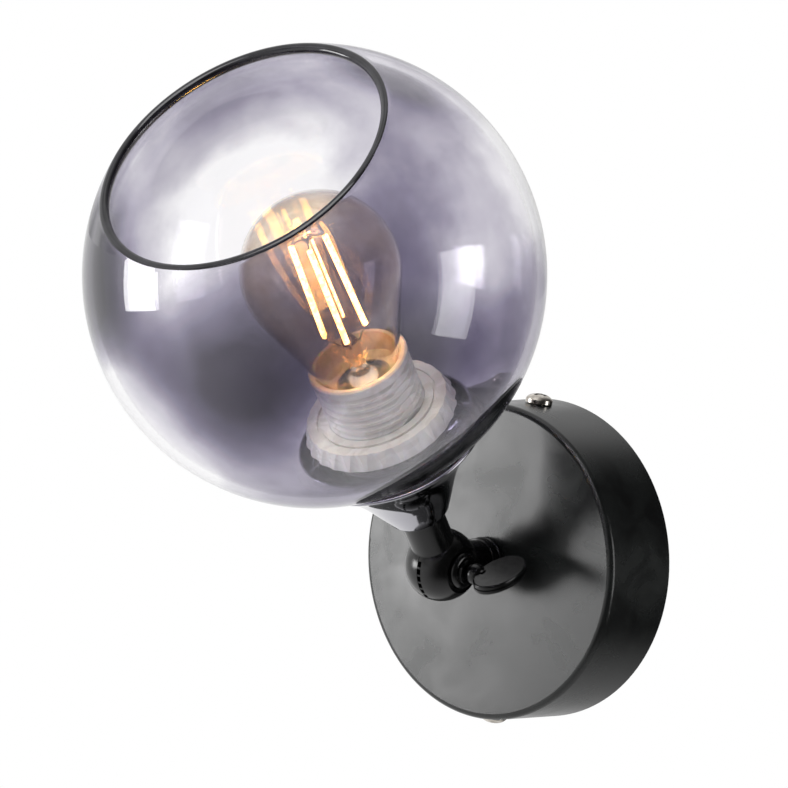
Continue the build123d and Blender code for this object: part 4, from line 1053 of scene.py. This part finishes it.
@dataclass
class Studio:
    """A white sweep, a room that is darker on its right side, and three softboxes.

    What mirrors the room or the floor sees bright_level at bright_bearing and dark_level on the far side. The
    limits between them are cosines of the angle to the bright side.
    """

    target: Vector
    floor_z: float = -0.35
    floor_side: float = 12.0
    floor_rings: int = 6
    floor_columns: int = 64
    floor_colour: str = "#f4f4f4"
    white: str = "#ffffff"
    near_m: float = 0.15        # the floor mirrors as white up to here, and as the room from far_m
    far_m: float = 0.8
    bright_bearing: float = -75.0
    bright_height: float = 10.0
    bright_level: float = 1.0
    bright_from: float = 0.5
    dark_level: float = 0.045
    dark_until: float = -0.35
    mottle_scale: float = 2.2   # patches of light and shade on the room's walls
    mottle_dark: float = 0.45
    mottle_bright: float = 1.3

    def softboxes(self) -> list[Softbox]:
        """Lists a window at the left, a tall strip at the right and a panel that shines into the mouth.

        Returns:
            The lamps.
        """
        return [
            Softbox("left_window", bearing=-50.6, height=-13.6, width_m=0.5, length_m=0.48, radiance=9.0),
            Softbox("right_strip", bearing=114.5, height=3.8, width_m=0.46, length_m=0.8, radiance=3.4),
            Softbox("mouth_panel", bearing=5.0, height=48.0, width_m=0.8, length_m=0.8, radiance=3.4),
        ]

    def level(self, tree: Tree, direction: Socket) -> Socket:
        """Works out how bright the room is, for what mirrors it.

        Args:
            tree: the node tree of the world or of the floor.
            direction: the unit direction that the light comes from.

        Returns:
            The brightness output.
        """
        side = add(tree, "ShaderNodeVectorMath", {0: direction, 1: outward(self.bright_bearing, self.bright_height)},
                   operation="DOT_PRODUCT")
        level = add(tree, "ShaderNodeMapRange", {"Value": side.outputs["Value"], "From Min": self.dark_until,
                                                 "From Max": self.bright_from, "To Min": self.dark_level,
                                                 "To Max": self.bright_level}, interpolation_type="SMOOTHSTEP")
        return level.outputs["Result"]

    def seen(self, tree: Tree, rays: Node) -> Socket:
        """Tells what the camera sees, directly or through glass, from what lights or is mirrored.

        Args:
            tree: the node tree of the world or of the floor.
            rays: its light path node.

        Returns:
            The output that is 1 for what is seen.
        """
        return add(tree, "ShaderNodeMath", {0: rays.outputs["Is Camera Ray"], 1: rays.outputs["Is Transmission Ray"]},
                   operation="MAXIMUM").outputs[0]

    def sweep(self) -> Material:
        """Makes the floor's paper: white where it is seen, pale where it scatters light, the room in a mirror.

        Returns:
            The material.
        """
        material = bpy.data.materials.new("white_sweep")
        material.use_nodes = True
        tree = material.node_tree
        tree.nodes.clear()
        paper = add(tree, "ShaderNodeBsdfDiffuse", {"Color": linear(self.floor_colour)})
        white = add(tree, "ShaderNodeEmission", {"Color": linear(self.white), "Strength": 1.0})
        place = add(tree, "ShaderNodeTexCoord").outputs["Object"]
        bearing = add(tree, "ShaderNodeVectorMath", {0: place}, operation="NORMALIZE")
        away = add(tree, "ShaderNodeVectorMath", {0: place}, operation="LENGTH")
        near = add(tree, "ShaderNodeMapRange", {"Value": away.outputs["Value"], "From Min": self.near_m,
                                                "From Max": self.far_m, "To Min": 1.0, "To Max": 0.0},
                   interpolation_type="SMOOTHSTEP")
        level = add(tree, "ShaderNodeMix", {0: near.outputs["Result"], 2: self.level(tree, bearing.outputs["Vector"]),
                                            3: 1.0}, data_type="FLOAT")
        mirrored = add(tree, "ShaderNodeEmission", {"Color": linear(self.white), "Strength": level.outputs[0]})
        rays = add(tree, "ShaderNodeLightPath")
        shown = add(tree, "ShaderNodeMixShader", {0: rays.outputs["Is Glossy Ray"], 1: paper.outputs[0],
                                                  2: mirrored.outputs[0]})
        mix = add(tree, "ShaderNodeMixShader", {0: self.seen(tree, rays), 1: shown.outputs[0], 2: white.outputs[0]})
        add(tree, "ShaderNodeOutputMaterial", {"Surface": mix.outputs["Shader"]})
        return material

    def floor(self) -> None:
        """Lays the plain pale floor."""
        points, half = [], self.floor_side / 2
        for ring in range(self.floor_rings + 1):
            reach = half * ring / self.floor_rings
            for column in range(self.floor_columns):
                turn = 2 * math.pi * column / self.floor_columns
                points.append(Vector((reach * math.cos(turn), reach * math.sin(turn), self.floor_z)))
        faces = grid_faces(self.floor_rings + 1, self.floor_columns, False)
        floor = mesh_piece("floor", points, faces, Matrix.Identity(4))
        floor.data.materials.append(self.sweep())

    def world(self) -> None:
        """Lights the room: bright on the left, dark behind on the right, white where it is seen."""
        world = bpy.data.worlds.new("studio_room")
        bpy.context.scene.world = world
        world.use_nodes = True
        tree = world.node_tree
        tree.nodes.clear()
        direction = add(tree, "ShaderNodeTexCoord").outputs["Generated"]
        clouds = add(tree, "ShaderNodeTexNoise", {"Vector": direction, "Scale": self.mottle_scale, "Detail": 4.0})
        mottle = add(tree, "ShaderNodeMapRange", {"Value": clouds.outputs["Fac"], "From Min": 0.35, "From Max": 0.65,
                                                  "To Min": self.mottle_dark, "To Max": self.mottle_bright})
        room = add(tree, "ShaderNodeMath", {0: self.level(tree, direction), 1: mottle.outputs["Result"]},
                   operation="MULTIPLY")
        seen = self.seen(tree, add(tree, "ShaderNodeLightPath"))
        strength = add(tree, "ShaderNodeMix", {0: seen, 2: room.outputs[0], 3: 1.0}, data_type="FLOAT")
        glow = add(tree, "ShaderNodeBackground", {"Color": linear(self.white), "Strength": strength.outputs[0]})
        add(tree, "ShaderNodeOutputWorld", {"Surface": glow.outputs["Background"]})

    def build(self) -> None:
        """Sets up the floor, the room and the lamps."""
        self.floor()
        self.world()
        for softbox in self.softboxes():
            softbox.hang(self.target)
        bpy.context.scene.view_settings.view_transform = "Standard"


@dataclass(frozen=True)
class PhotoCamera:
    """The camera, where the photograph was taken from. Its angles are in degrees."""

    aim_mm: tuple[float, float, float] = (-5.7, -69.3, 43.5)
    bearing: float = 40.33
    height: float = 7.77
    roll: float = 7.92
    distance_m: float = 1.020
    near_clip_m: float = 0.01
    focal_px: float = 3594.2
    centre_x_px: float = 395.3
    centre_y_px: float = 413.8

    def build(self) -> None:
        """Makes the camera and sets it as the scene's."""
        data = bpy.data.cameras.new("photo_camera")
        data.sensor_fit = "HORIZONTAL"
        data.sensor_width = SENSOR_MM
        data.lens = self.focal_px / IMAGE_SIDE * SENSOR_MM
        data.shift_x = (IMAGE_SIDE / 2 - self.centre_x_px) / IMAGE_SIDE
        data.shift_y = (self.centre_y_px - IMAGE_SIDE / 2) / IMAGE_SIDE
        data.clip_start = self.near_clip_m
        camera = bpy.data.objects.new("photo_camera", data)
        bpy.context.scene.collection.objects.link(camera)
        back = outward(self.bearing, self.height)
        level = Vector((0, 0, 1)).cross(back).normalized()
        turn = Matrix((level, back.cross(level), back)).transposed()
        roll = Matrix.Rotation(math.radians(self.roll), 3, "Z")
        aim = Vector(self.aim_mm) * MM
        camera.matrix_world = Matrix.Translation(aim + back * self.distance_m) @ (turn @ roll).to_4x4()
        bpy.context.scene.camera = camera


def main() -> None:
    """Builds the camera, the studio and the lamp's pieces, in that order."""
    PhotoCamera().build()
    low, high = cad_box
    Studio((Vector(low) + Vector(high)) / 2).build()
    palette = finishes()
    axis = LampAxis.from_joint("bulb_turn")
    pieces = {
        # the rim's near black is partly thick smoke and partly painted shade for the dark that it refracts
        "globe_glass": Globe(axis).build(PolishedRim("rim_painted_near_black").make()),
        "bulb_glass": BulbEnvelope(axis).build(palette[Slot.CLEAR_GLASS]),
    }
    for name, piece in pieces.items():
        log.info("%s stands for %s", piece.name, name)
    CarriedNodes(palette).dress(list(pieces))


if __name__ == "__main__":
    main()
